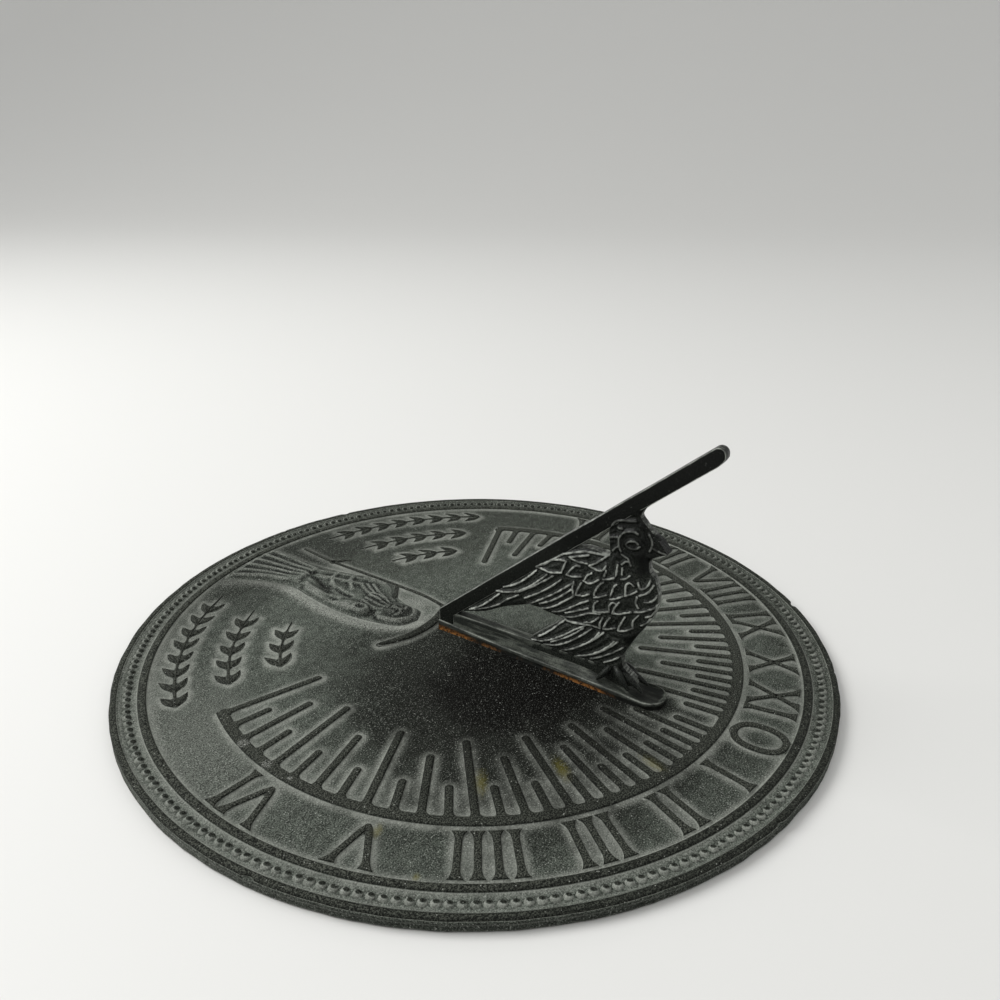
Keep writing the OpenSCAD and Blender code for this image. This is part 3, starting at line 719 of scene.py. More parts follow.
def bankOf(x, y):
    # a low worn bank beside the figure, and worn ground by its head
    bank = bellOf(lineDistance(x, y, bankLine), 0, soil["bankHalf"])
    worn = bellOf(x, -8, 4.2) * bellOf(y, -35, 8) + bellOf(x, 1, 7) * bellOf(y, -24.6, 1.8)
    return bank, np.minimum(worn, 1)


def groundHeight(x, y, edge):
    # the ground rises a little toward each form, as sand moulds leave it
    rise = soil["rise"] * bellOf(np.maximum(edge, 0), 0, 0.8) + soil["bank"] * bankOf(x, y)[0]
    return dial["field"] + rise + 0.05 * wander(x, y, 46, 1) + 0.03 * wander(x, y, 17, 2)


def makeGround(name, radii, counts, centre):
    rings = [circleOf(0, 0, 1)] if centre else []
    rings += [circleOf(radius, 0, count) for radius, count in zip(radii, counts)]
    x, y = np.vstack(rings)[:, :2].T
    edge = nearestForm(x, y)
    height = groundHeight(x, y, edge)
    at = 0
    for ring in rings:
        ring[:, 2] = height[at:at + len(ring)]
        at += len(ring)
    # a flat underside, hidden between the rim and the back
    rest = [ring * [1, 1, 0] + [0, 0, dial["floor"]] for ring in (rings[-1], rings[0])]
    points, faces = ringMesh(rings + rest, closed=not centre)
    hidden = sum(len(ring) for ring in rest)
    bank, worn = bankOf(x, y)
    tide = 0.5 + 0.5 * wander(x, y, 30, 9)
    radius, angle = np.hypot(x, y), np.degrees(np.arctan2(x, y)) % 360
    far, outer = fadeBetween(80, 93, radius), fadeBetween(109, 114, radius)
    # paler ground round 112 and 128 degrees clockwise from noon, darker round 182
    paleArc, dust, shade = [most * bellOf(angle, at, spread) for at, spread, most in
                         (soil["paleArc"], soil["dust"], soil["shade"])]
    pale = np.max([bank * (0.75 + 0.4 * tide), worn * 0.8, paleArc * far, dust * outer], axis=0)
    pale, dark = [np.append(np.clip(part, 0, 1), np.zeros(hidden)) for part in (pale, far * (0.12 + shade))]
    edge = np.append(edge, np.full(hidden, 3.0))
    return makePiece(name, points, faces, plateIron, "plate_iron", sharp=60, edge=edge, pale=pale, dark=dark)


# Dial plate: ground, rim and back
net = {"near": 29, "nearPoints": 270, "middle": 58, "middlePoints": 540, "farPoints": 1080, "step": 0.72,
       "farStep": 0.66, "bandStep": 0.62}
radii, counts = [], []
for start, end, step, count in ((1, net["near"], net["step"], net["nearPoints"]),
                                (net["near"], net["middle"], net["step"], net["middlePoints"]),
                                (net["middle"], dial["seam"] - 0.2, net["farStep"], net["farPoints"]),
                                (dial["seam"], dial["seam"] + 0.1, 1, net["farPoints"])):
    found = list(np.arange(start, end, step))
    radii += found
    counts += [count] * len(found)
field = makeGround("plate_field", radii, counts, True)
radii = [dial["seam"]] + list(np.arange(dial["seam"] + 0.6, band["outer"] + 0.7, net["bandStep"]))
numeralBand = makeGround("plate_numeral_band", radii, [net["farPoints"]] * len(radii), False)
print("ground made")

rim = {"segments": 1368, "flangeIn": 124.6, "top": 4.2, "ridgeOut": 118, "ridgeFoot": 3.9, "ridgeRise": 0.42,
       "channel": 3.3, "channelLip": 3.78, "edgeRadius": 0.8, "grooveDepth": 0.22, "grooveZ": 2.34,
       "beadRadius": 1.6, "beadRise": 0.62, "beads": 230, "beadPath": 121.3,
       "shadedAt": -75, "paintedSideLightAt": 104, "dustedAt": 90}


def rimProfile():
    # once round the rim's section, as (radius, height, distance from a raised edge)
    r, ridgeIn, ridgeOut, flange = dial["radius"], band["outer"], rim["ridgeOut"], rim["flangeIn"]
    top, corner, groove = rim["top"], rim["edgeRadius"], rim["grooveZ"]
    hollowEdge, hollow = r - dial["restWidth"], dial["hollow"]
    profile = [(ridgeIn - 1.4, 3.0, 0.9), (ridgeIn - 0.7, 3.24, 0.6), (ridgeIn - 0.3, 3.42, 0.35),
               (ridgeIn - 0.05, 3.68, 0.1), (ridgeIn + 0.12, rim["ridgeFoot"], -0.15)]
    for i in range(1, 10):
        c, s = math.cos(math.pi * (1 - i / 10)), math.sin(math.pi * (1 - i / 10))
        profile.append(((ridgeIn + ridgeOut) / 2 + 1.3 * c, rim["ridgeFoot"] + rim["ridgeRise"] * s,
                        -0.25 - 0.35 * s))
    profile += [(ridgeOut - 0.1, 3.85, -0.05), (ridgeOut + 0.15, 3.6, 0.2)]
    for part in np.linspace(0, 1, 12):
        # the floor between the ridge and the flange
        bowl = (rim["channelLip"] - rim["channel"]) * math.sin(math.pi * min(1, 0.12 + part * 0.8)) ** 0.6
        profile.append((ridgeOut + 0.45 + part * (flange - ridgeOut - 1.3), rim["channelLip"] - bowl, 1.0))
    profile += [(flange - 0.45, 3.8, 3), (flange - 0.2, 4.0, -0.15), (flange + 0.1, 4.17, -0.3),
                (flange + 0.8, top, -0.5), (r - corner, top, -0.5)]
    for i, edge in enumerate((-0.3, -0.3, -0.2, -0.1, 3)):
        a = math.pi / 2 * (1 - (i + 1) / 5)
        profile.append((r - corner + corner * math.cos(a), top - corner + corner * math.sin(a), edge))
    profile += [(r, 2.75, 3), (r - 0.05, groove + 0.16, 1.5), (r - rim["grooveDepth"], groove, 0.1),
                (r - 0.05, groove - 0.19, 1.5), (r, 1.9, 3), (r, 1.1, 3), (r, 0.45, 0.8), (r - 0.4, 0, -0.2)]
    profile += [(r - 3, 0, 3), (hollowEdge + 3, 0, 3), (hollowEdge + 0.6, 0, 2), (hollowEdge, 0.2, 1),
                (hollowEdge - 0.8, hollow, 0.6), (hollowEdge - 3, hollow, 3), (hollowEdge - 3, 1.8, 3),
                (ridgeIn - 1.2, 1.8, 3)]
    return profile


def makeRim():
    flange, ridgeOut, n = rim["flangeIn"], rim["ridgeOut"], rim["segments"]
    a = np.arange(n) * 2 * np.pi / n
    c, s = np.cos(a), np.sin(a)
    uneven = 0.3 * wander(c * 60, s * 60, 31, 4) + 0.16 * wander(c * 90, s * 90, 9, 5)
    # small chips out of the flange's edge, and lumps of flash along the parting line
    chips = np.maximum(0, wander(c * 200, s * 200, 17, 7) - 0.85) * 2.4
    flash = np.maximum(0, wander(c * 150, s * 150, 21, 8) - 0.55) * 0.8
    # more dust lies in the channel toward the afternoon; the channel is painted darker round -75 degrees, a
    # painted shade, and the side is painted paler round 104 degrees, where it faces the lamp, a painted light
    turned = np.degrees(np.arctan2(c, s))
    shaded = 0.5 + 0.5 * np.cos(np.radians(turned - rim["shadedAt"]))
    paintedSideLight = 0.5 * bellOf(turned, rim["paintedSideLightAt"], 24)
    dusted = bellOf(turned, rim["dustedAt"], 22)
    farSide = np.exp(-(turned / 70) ** 4)
    rings, edge, pale, dark = [], [], [], []
    beadTurn = 2 * np.pi / rim["beads"]
    for radius, z, e in rimProfile():
        outside = np.clip((radius - 125) / 2, 0, 1)
        inset = outside * (0.22 + np.abs(uneven) * 0.8 + chips * (z > 3))
        moved = radius - inset + outside * flash * 0.25 * (2.2 < z < 2.9)
        lift = 0.04 * wander(c * radius, s * radius, 23, 6) if z > 2.8 else 0
        rings.append(np.column_stack([moved * c, moved * s, z + lift - chips * 0.35 * outside * (z > 3)]))
        value = np.full(n, float(e))
        if radius > band["outer"] and z > 3.85 and e < -0.2:
            value *= 1 - 0.6 * farSide
        if flange - 0.5 < radius < flange:
            value += dusted * (0.35 - e if e > 0 else 0.2)
        if ridgeOut + 0.3 < radius < flange - 0.8:
            around = (a % beadTurn) - beadTurn / 2
            bead = np.hypot(around * radius, radius - rim["beadPath"]) - rim["beadRadius"]
            value = np.minimum(radius - ridgeOut, flange - radius) * 0.35 + 1.3 + 1.1 * shaded
            value += np.clip(0.6 - bead, 0, 1) * 0.6
        # the side wall is painted darker all round, and painted paler where it faces the lamp: painted light
        side = 0.2 < z < 2.9 and radius > 125
        edge.append(value)
        pale.append(paintedSideLight * (0.75 + 0.35 * uneven) * side)
        dark.append((0.55 - 0.5 * paintedSideLight) * side)
    points, faces = ringMesh(rings, closed=True)
    edge, pale, dark = [np.concatenate(part) for part in (edge, pale, dark)]
    return makePiece("plate_rim", points, faces, plateIron, "plate_iron", sharp=50,
                     edge=edge, pale=pale, dark=dark)


rimPiece = makeRim()


def makeBead():
    # a low round dome, with its point sunk under the channel's floor
    size, rise = rim["beadRadius"], rim["beadRise"]
    rings = [circleOf(0, size * rise, 1)]
    for i in range(1, 6):
        a = math.pi / 2 * (1 - i / 5)
        rings.append(circleOf(size * math.cos(a), size * math.sin(a) * rise, 12))
    points, faces = ringMesh(rings + [circleOf(0, -0.4, 1)])
    # painted shade: each bead is dark on its side toward the numerals, and the rest is worn and dusty
    spot = np.hypot(points[:, 0] + 0.55, points[:, 1] - 0.2)
    edge = np.where(points[:, 2] > 0.2, np.interp(spot, [0.6, 1.25, 1.5], [-0.14, 0.1, 0.9]), 0.3)
    return patternObject("bead", points, faces, edge)


turns = (np.arange(rim["beads"]) + 0.5) * 2 * np.pi / rim["beads"]
beadPoints = rim["beadPath"] * np.column_stack([np.cos(turns), np.sin(turns), 0 * turns])
beadPoints[:, 2] = rim["channel"] - 0.12
beads = repeatPiece("rim_beads", beadPoints, turns, makeBead(), plateIron,
                    {"variation": 0.16, "turnVariation": 0.3, "seed": 4})

back = {"radius": 113.4, "screwAt": (-3.1, 48.9), "headRadius": 3.8, "top": 2.2, "coneTop": 4.6, "coneFoot": 0.2}


def makeBack():
    top, low, wide = back["top"], dial["hollow"], back["radius"]
    rings = [circleOf(radius, z, 96) for radius, z in (
        (0, top), (60, top), (wide, top), (wide, low), (90, low), (60, low), (30, low), (0, low))]
    points, faces = ringMesh(rings)
    edge = np.full(len(points), 3.0)
    piece = makePiece("plate_back", points, faces, plateIron, "plate_iron", sharp=30, edge=edge)
    # a countersunk hole for each screw
    top, low = back["coneTop"], back["coneFoot"]
    for y in back["screwAt"]:
        cone = [circleOf(radius, z, 32, y) for radius, z in (
            (0, top), (low, top - low), (back["headRadius"] + 0.6, low), (0, low))]
        cutter = meshObject("cut", *ringMesh(cone), {})
        modifier = piece.modifiers.new("countersink", "BOOLEAN")
        modifier.operation, modifier.object, modifier.solver = "DIFFERENCE", cutter, "EXACT"
        settle(piece)
        bpy.data.objects.remove(cutter)
    return piece


backPiece = makeBack()
print("rim, beads and back made")


# Hour scale and numerals: layers of a cast form as (inset, height, distance from its edge)
ground, top = dial["field"], dial["height"]
castLayers = [(-0.55, ground - 0.3, 0.6), (-0.5, ground + 0.02, 0.5), (-0.22, ground + 0.16, 0.3),
              (0.0, ground + 0.46, 0.0), (0.22, top - 0.12, -0.2), (0.5, top + 0.01, -0.45),
              (0.8, top + 0.06, -0.7)]


def barOutline(length, width):
    # round at its free end, and widening where it runs into the hour arc
    turn = np.linspace(math.pi, 2 * math.pi, 10)
    start = np.column_stack([width / 2 * np.cos(turn), width / 2 * np.sin(turn) + width / 2])
    foot, flare = length - hours["arcWidth"] / 2, hours["flare"]
    right = [(width / 2, foot * 0.5)]
    for before, wider in ((1.6, 0.0), (0.8, 0.14), (0.35, 0.4), (0.0, flare)):
        right.append((width / 2 + wider, foot - before))
    right.append((width / 2 + flare, length))
    return np.vstack([start, right, [(-x, y) for x, y in right[::-1]]])


markPieces = []
for kind in ("hour", "half", "quarter"):
    outline = barOutline(hours[kind] + hours["arcWidth"] / 2, hours["markWidth"])
    shape = patternObject(kind, *raisedForm(outline, castLayers))
    mine = [hour for k, hour in marks if k == kind]
    at = [np.append(hourPoint(hour, hourReach(hour, arcIn) - hours[kind]), 0) for hour in mine]
    markPieces.append(repeatPiece("marks_" + kind, at, [-hourAngle(hour) for hour in mine], shape, plateIron,
                                  {"variation": 0.0, "turnVariation": 0.0, "seed": 1}))


def makeArc():
    profile = [(arcIn + inset, z, e) for inset, z, e in castLayers]
    profile += [(hours["arcOut"] - inset, z, e) for inset, z, e in castLayers[::-1]]
    steps = 360
    edgeTurn = math.radians(sweep) + hours["markWidth"] / 2 / arcMid
    rings = []
    for k in range(steps + 1):
        a = math.pi / 2 - edgeTurn + 2 * edgeTurn * k / steps
        c, s, uneven = math.cos(a), math.sin(a), 0.02 * math.sin(a * 37)
        rings.append(np.array([(r * c, r * s, z + uneven) for r, z, e in profile]))
    points, faces = ringMesh(rings, capped=True)
    edge = np.tile([e for r, z, e in profile], steps + 1)
    return makePiece("hour_arc", points, faces, plateIron, "plate_iron", edge=edge)


hourArc = makeArc()


def strokeOutline(shape, xIn, xOut):
    # shares of the flare along the stroke: an arm tapers to its inner end, a bar widens at both
    start = {"arm": [-0.9, -0.45, -0.22, -0.05], "bar": [1.25, 0.55, 0.25, 0.08]}[shape]
    shares = list(zip([0, 0.06, 0.1, 0.15], start))
    shares += [(0.22, 0), (0.74, 0), (0.83, 0.12), (0.9, 0.4), (0.95, 0.8), (1, 1.4)]
    inner = band["from"] + (band["armShort"] if shape == "arm" else 0)
    right, left = [], []
    for t, share in shares:
        x, y = xIn + t * (xOut - xIn), inner + t * (band["to"] - inner)
        half = band["stroke"] / 2 + share * band["flare"] * (1 if share > 0 else 0.8)
        right.append((x + half, y))
        left.append((x - half, y))
    return np.array(right + left[::-1])


numerals = Parts()
strokeLayers = [(inset * band["draft"], z, e) for inset, z, e in castLayers]
for shape, at, xIn, xOut in strokes:
    form = raisedForm(strokeOutline(shape, xIn, xOut), strokeLayers, strip=True)
    numerals.add(*form, turn=-math.radians(at))


def makeNoonRing():
    # a lathe profile carried round two ovals, wider at its sides than at its ends
    steps, draft, power = 72, 2.6, 2 / 2.3
    wide, long = band["noonWidth"], band["outer"] - band["inner"] - 0.8
    levels = [(inset / draft, z, e) for inset, z, e in castLayers]
    levels += [(1 - inset / draft, z, e) for inset, z, e in castLayers[::-1]]
    rings = []
    for k in range(steps):
        a = 2 * math.pi * k / steps
        unit = np.array([math.copysign(abs(part) ** power, part) for part in (math.cos(a), math.sin(a))])
        inner = unit * [wide / 2 - 1.3 * band["stroke"], long / 2 - band["stroke"]]
        outer = unit * [wide / 2, long / 2]
        rings.append(np.array([
            np.append(inner * (1 - t) + outer * t + [0, numeralMid], z) for t, z, e in levels]))
    points, faces = ringMesh(rings, closed=True)
    return points, faces, np.tile([e for t, z, e in levels], steps)


numerals.add(*makeNoonRing())
numeralPiece = numerals.make("numerals", plateIron, "plate_iron", sharp=89)
print("hour scale and numerals made")


# Leaf rows
def makeLeaf():
    # pointed leaf with a raised midrib and bent side veins
    along, across = 14, 9
    flat, front, edge = [], [], []
    for i in range(along + 1):
        t = i / along
        half = leaves["width"] / 2 * math.sin(math.pi * t ** 0.8) + 0.02
        for j in range(across):
            v = j / (across - 1) * 2 - 1
            out = abs(v)
            crown = (1 - out ** 2.4) * 0.66 * min(1, 4 * (1 - t) + 0.3)
            midrib = 0.16 * math.exp(-(v / 0.14) ** 2)
            veins = 0.09 * (0.5 + 0.5 * math.cos(24 * (t - 0.22 * out))) * (0.15 < out < 0.85)
            flat.append((leaves["length"] * t, half * v))
            front.append(ground + 0.1 + crown + midrib - veins)
            edge.append(0.3 if out > 0.98 else 0.0 if out > 0.7 else -0.6 if j == across // 2 else -0.25)
    corners = [i * across + j for i in range(along) for j in range(across - 1)]
    quads = [(k, k + across, k + across + 1, k + 1) for k in corners]
    points, faces = sheetSolid(flat, quads, front, [ground - 0.4] * len(flat))
    return patternObject("leaf", points, faces, edge + [0.4] * len(flat))


leafPlaces = [np.append(root, 0) for root, heading in leafRoots]
leafTurns = [heading for root, heading in leafRoots]
leafPiece = repeatPiece("leaf_rows", leafPlaces, leafTurns, makeLeaf(), plateIron,
                        {"variation": 0.1, "turnVariation": 0.07, "seed": 11})


def taperedBand(points, widths):
    # a band along a line, as wide as the widths given along it, with rounded ends
    p = np.asarray(points, float)
    d = np.gradient(p, axis=0)
    d /= np.linalg.norm(d, axis=1)[:, None]
    n = np.column_stack([-d[:, 1], d[:, 0]])
    half = np.interp(np.linspace(0, 1, len(p)), np.linspace(0, 1, len(widths)), widths)[:, None] / 2
    finish = [p[-1] + (d[-1] - n[-1]) * half[-1] * 0.66, p[-1] + d[-1] * half[-1] * 0.9,
              p[-1] + (d[-1] + n[-1]) * half[-1] * 0.66]
    start = [p[0] + (-d[0] + n[0]) * half[0] * 0.66, p[0] - d[0] * half[0] * 0.9,
             p[0] + (-d[0] - n[0]) * half[0] * 0.66]
    return np.vstack([p - n * half, finish, (p + n * half)[::-1], start])


stemLayers = [(-0.2, ground - 0.3, 0.5), (-0.15, ground + 0.05, 0.35), (0.0, ground + 0.35, 0.05),
              (0.15, ground + 0.58, -0.2), (0.32, ground + 0.68, -0.35)]
stemParts = Parts()
for radius, first, last in stems:
    # each stem runs 2 degrees past its last leaf
    line = [clockwise(radius, a) for a in np.linspace(first, last + math.copysign(2, last), 24)]
    stemParts.add(*raisedForm(taperedBand(line, [leaves["stem"], leaves["stem"] * 0.5]), stemLayers))
stemPiece = stemParts.make("leaf_stems", plateIron, "plate_iron")

# Scythe
bladeLayers = [(-0.5, ground - 0.3, 0.6), (-0.4, ground + 0.05, 0.5), (-0.15, ground + 0.25, 0.25),
               (0.05, ground + 0.7, -0.05), (0.25, ground + 1.0, -0.25),
               (0.6, ground + figure["bladeHeight"], -0.35)]
gripLine = smoothCurve([(-20.2, -79.5), (-19, -82.3), (-15.4, -85.2)], 5)
crossLine = smoothCurve([(-6.3, -43.8), (-14.3, -49.5)], 5)
scythe = Parts()
for line, widths, layers in ((handleLine, [1.7, 1.5], stemLayers),
                             (bladeLine, [1.8, 3.0, 3.6, 3.8, 3.4, 2.6, 1.4], bladeLayers),
                             (gripLine, [0.9, 3.4], stemLayers), (crossLine, [1.7, 1.7], stemLayers)):
    scythe.add(*raisedForm(taperedBand(line, widths), layers))
scythePiece = scythe.make("scythe", plateIron, "plate_iron")
print("leaf rows and scythe made")


# Winged figure: masses as (x, y, half width, half length, height, turn), worn smooth into each other
masses = ((3.6, -35.2, 8.0, 9.0, 2.3, 0), (1.5, -47, 7.0, 8.5, 2.1, 0), (1, -55, 14, 12, 2.1, 0),
          (0.8, -67, 12.5, 16, 2.1, 0), (0, -82, 9.6, 16, 1.7, 0), (3, -102, 15, 24, 1.3, 0),
          (10, -53, 4.6, 9, 2.5, 0.15), (9.8, -48.0, 3.6, 3.9, 2.7, 0), (-10, -57, 4, 9, 2.0, -0.2))
face = {"x": 3.4, "brow": -33.0, "eyes": -34.4, "mouth": -38.8}


def bumpOf(x, y, cx, cy, rx, ry, height, turn, power=0.55):
    c, s = math.cos(turn), math.sin(turn)
    u, v = (x - cx) * c + (y - cy) * s, -(x - cx) * s + (y - cy) * c
    return height * np.clip(1 - (u / rx) ** 2 - (v / ry) ** 2, 0, None) ** power


def figureRidges():
    # every ridge and groove as (points, half width, rise); first the long feathers that spread outward
    made = []
    for start, middle, end in ((-4.5, -6.4, -7.6), (-2.0, -2.4, -2.6), (0.4, 1.4, 2.6), (2.6, 4.8, 8.0),
                               (4.8, 8.4, 13.4), (6.6, 11.4, 18.6)):
        made.append(([(start, -85), ((start + middle) / 2, -92), (middle, -100), (end, -115)], 1.25, 0.75))
    # folds of the robe
    for points in ([(-9, -62), (-7, -72), (-3.5, -84)], [(-4.5, -60), (-2, -70), (-0.5, -83)],
                   [(8.5, -60), (9, -70), (6.5, -80)]):
        made.append((points, 1.3, 0.55))
    for points in ([(-9.5, -75), (-2, -73), (5, -66)], [(-10.5, -67), (-5, -66), (1, -60)],
                   [(12, -58), (11.4, -68), (9, -78)]):
        made.append((points, 1.0, 0.5))
    made.append(([(-1, -83.5), (2.5, -76), (6.4, -67)], 2.0, -1.1))
    made.append(([(5.5, -57), (4.8, -63), (3.5, -69)], 1.0, -0.6))
    # sleeve, beard, and hair round the head
    for m in (0, 2.3, 4.6):
        made.append(([(-7 + m * 0.5, -55.5 - m), (-3.5 + m * 0.6, -50 - m * 0.7), (-1 + m * 0.5, -44 - m * 0.4)],
                     0.75, 0.5))
    for m in (-2.4, -0.8, 0.8, 2.4):
        made.append(([(3.2 + m, -41), (2.8 + m * 1.5, -45.5), (2.0 + m * 1.2, -51)], 0.6, 0.45))
    for m in (0, 1.6):
        made.append(([(-3.0 - m * 0.3, -39), (-2.4 - m * 0.4, -32 + m * 0.4), (3.4, -27.9 + m * 0.5),
                      (9.2 + m * 0.4, -32 + m * 0.4), (10.2 + m * 0.3, -39)], 0.65, 0.4))
    return made


def faceRidges():
    # a calm, plain face: brows, closed eyes, nose and mouth
    x, brow, eyes, mouth = face["x"], face["brow"], face["eyes"], face["mouth"]
    made = []
    for side in (-1, 1):
        made.append(([(x + side * 0.6, brow), (x + side * 2, brow + 0.4), (x + side * 3.4, brow - 0.3)],
                     0.5, 0.35))
        made.append(([(x + side * 1.1, eyes - 0.4), (x + side * 2, eyes - 0.7), (x + side * 2.9, eyes - 0.3)],
                     0.35, 0.3))
    made.append(([(x, brow - 0.4), (x, brow - 3.8)], 0.65, 0.55))
    made.append(([(x - 1.4, mouth), (x, mouth + 0.3), (x + 1.4, mouth)], 0.5, -0.4))
    return made


def figureRelief(x, y):
    # height over the ground of a bearded figure in a long robe, with folded wings, worn smooth
    sharpness = 7.0
    total = sum(np.exp(sharpness * bumpOf(x, y, *mass)) for mass in masses)
    height = np.log(total - len(masses) + 1) / sharpness
    # the hand's ring and its hollow
    ring = np.abs(np.hypot((x - 9.8) / 2.3, (y + 48.2) / 2.7) - 1) * 2.5
    height += 0.5 * bellOf(ring, 0, 0.7) - 0.6 * bellOf(x, 9.8, 1.3) * bellOf(y, -48.2, 1.7)
    height += bumpOf(x, y, face["x"], -35.6, 4.4, 5.6, 0.4, 0, 1.0)
    for side in (-1, 1):
        height -= 0.5 * bellOf(x, face["x"] + side * 1.9, 1.3) * bellOf(y, face["eyes"], 0.9)
    for points, width, rise in figureRidges() + faceRidges():
        height += rise * bellOf(lineDistance(x, y, smoothCurve(points, 4)), 0, width)
    return height


def nearFigure(x, y):
    return outlineDistance(x, y, figureOutline)[0] > -figure["margin"]


def makeFigure():
    cell, (low, high) = figure["cell"], figure["box"]
    flat, quads = gridNet(low, high, cell, nearFigure)
    x, y = flat[:, 0], flat[:, 1]
    inside = outlineDistance(x, y, figureOutline)[0]
    shape = np.maximum(figureRelief(x, y), 0) * fadeBetween(-0.4, 3.0, inside)
    front = ground - 0.25 + fadeBetween(-figure["margin"], 1.2, inside) * 0.7 + shape
    # kept low where it meets the ridge
    front = np.where(np.hypot(x, y) > back["radius"], np.minimum(front, ground + 0.75), front)
    # how far each place stands out from the places round it: crests are worn, hollows stay dark
    across, up = np.round((flat - low) / cell).astype(int).T
    known = np.zeros((across.max() + 1, up.max() + 1))
    heights = known.copy()
    known[across, up], heights[across, up] = 1, front
    shifts = [(i, j) for i in range(-3, 4) for j in range(-3, 4)]
    known, heights = [sum(np.roll(part, shift, axis=(0, 1)) for shift in shifts) for part in (known, heights)]
    proud = front - heights[across, up] / known[across, up]
    smudge = 0.5 + 0.5 * wander(x, y, 14, 12)
    dark = np.clip(-proud * 6, 0, 0.75) + 0.25 * smudge
    for cx, cy, rx, ry, depth in figure["shades"]:
        dark = np.maximum(dark, depth * np.exp(-(((x - cx) / rx) ** 2 + ((y - cy) / ry) ** 2) ** 1.5))
    dark = np.clip(dark - np.clip(proud * 5, 0, 0.7), 0, 1) * fadeBetween(0.3, 2.5, inside)
    pale = np.clip(proud * 6, 0, 0.65) * fadeBetween(-0.5, 1.5, inside) * (0.5 + 0.5 * smudge)
    pale = np.maximum(pale, 0.55 * (1 - fadeBetween(-0.6, 1.2, inside)) * (x > 0))
    points, faces = sheetSolid(flat, quads.tolist(), front, np.full(len(flat), figure["back"]))
    return makePiece("winged_figure", points, faces, plateIron, "plate_iron", sharp=70,
                     edge=np.full(len(points), 3.0), pale=np.tile(pale, 2), dark=np.tile(dark, 2))


figurePiece = makeFigure()
for piece in [field, numeralBand, rimPiece, beads, backPiece, hourArc, numeralPiece, leafPiece, stemPiece,
              scythePiece, figurePiece] + markPieces:
    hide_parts("dial_plate")
print("figure made")


# Gnomon: style, low wall and foot
gnomon = {"angle": 40.5, "reach": 110.5, "zero": -25, "depth": 5.1, "tip": 2.2, "root": -16.1, "wall": 8.4}
foot = {"nose": 74.1, "noseWidth": 12.4, "rootWidth": 5.2, "sideRoot": 3.9, "side": 2.5, "crest": 5.6,
        "bowl": 1.0, "web": 2.0, "lip": 2.3}
slope = math.tan(math.radians(gnomon["angle"]))
rise = slope * gnomon["reach"]
# rounding of the style's two faces, as (inset, distance from its middle plane, distance from an edge)
oneSide = [(0, 1.4, 0.3), (0.16, 1.84, 0.05), (0.5, 1.99, 0.6), (0.75, 2.0, 2.0)]
sideRound = [(inset, -out, edge) for inset, out, edge in oneSide[::-1]] + oneSide
wallRound = [(inset, 0.93 * out, edge) for inset, out, edge in sideRound]


def sideAt(points):
    # hundredths of the style's reach and rise, to millimetres toward noon and up
    return [(gnomon["zero"] + a * gnomon["reach"] / 100, dial["height"] + b * rise / 100) for a, b in points]


def upright(points):
    # a form drawn lying flat is stood on the noon line
    p = np.asarray(points, float)
    return np.column_stack([p[:, 2], p[:, 0], p[:, 1]])


def evenSteps(corners, size):
    made = []
    for a, b in zip(corners, corners[1:] + corners[:1]):
        n = max(1, int(math.dist(a, b) / size))
        made += [np.array(a) + (np.array(b) - np.array(a)) * k / n for k in range(n)]
    return np.array(made)


def styleOutline():
    turn, tipR, root = math.radians(gnomon["angle"]), gnomon["tip"], gnomon["root"]
    drop, tipY = gnomon["depth"] / math.cos(turn), gnomon["zero"] + gnomon["reach"]
    lowZ = dial["height"] + rise - drop
    front, middleZ = root + drop, dial["height"] + rise - tipR * slope - tipR / math.cos(turn)
    corners = [(root, ground + 0.1), (front, ground + 0.1),
               (front, dial["height"] + (front - gnomon["zero"]) * slope - drop),
               (tipY - tipR, lowZ - tipR * slope), (tipY - 0.6, lowZ - 0.1), (tipY, lowZ + tipR / 2)]
    for i in range(9):
        # round top of the tip
        a = (math.pi / 2 + turn) * i / 8
        corners.append((tipY - tipR + tipR * math.cos(a), middleZ + tipR * math.sin(a)))
    corners.append((root, dial["height"] + (root - gnomon["zero"]) * slope))
    outline = evenSteps(corners, 1.6)
    outline[:, 1] += 0.05 * wander(outline[:, 0], outline[:, 1], 22, 3)
    return outline


styleParts = Parts()
points, faces, edge = raisedForm(styleOutline(), sideRound)
styleParts.add(upright(points), faces, edge)
stylePiece = styleParts.make("style_bar", gnomonIron, "gnomon_iron", line=np.full(styleParts.count, 2.8))


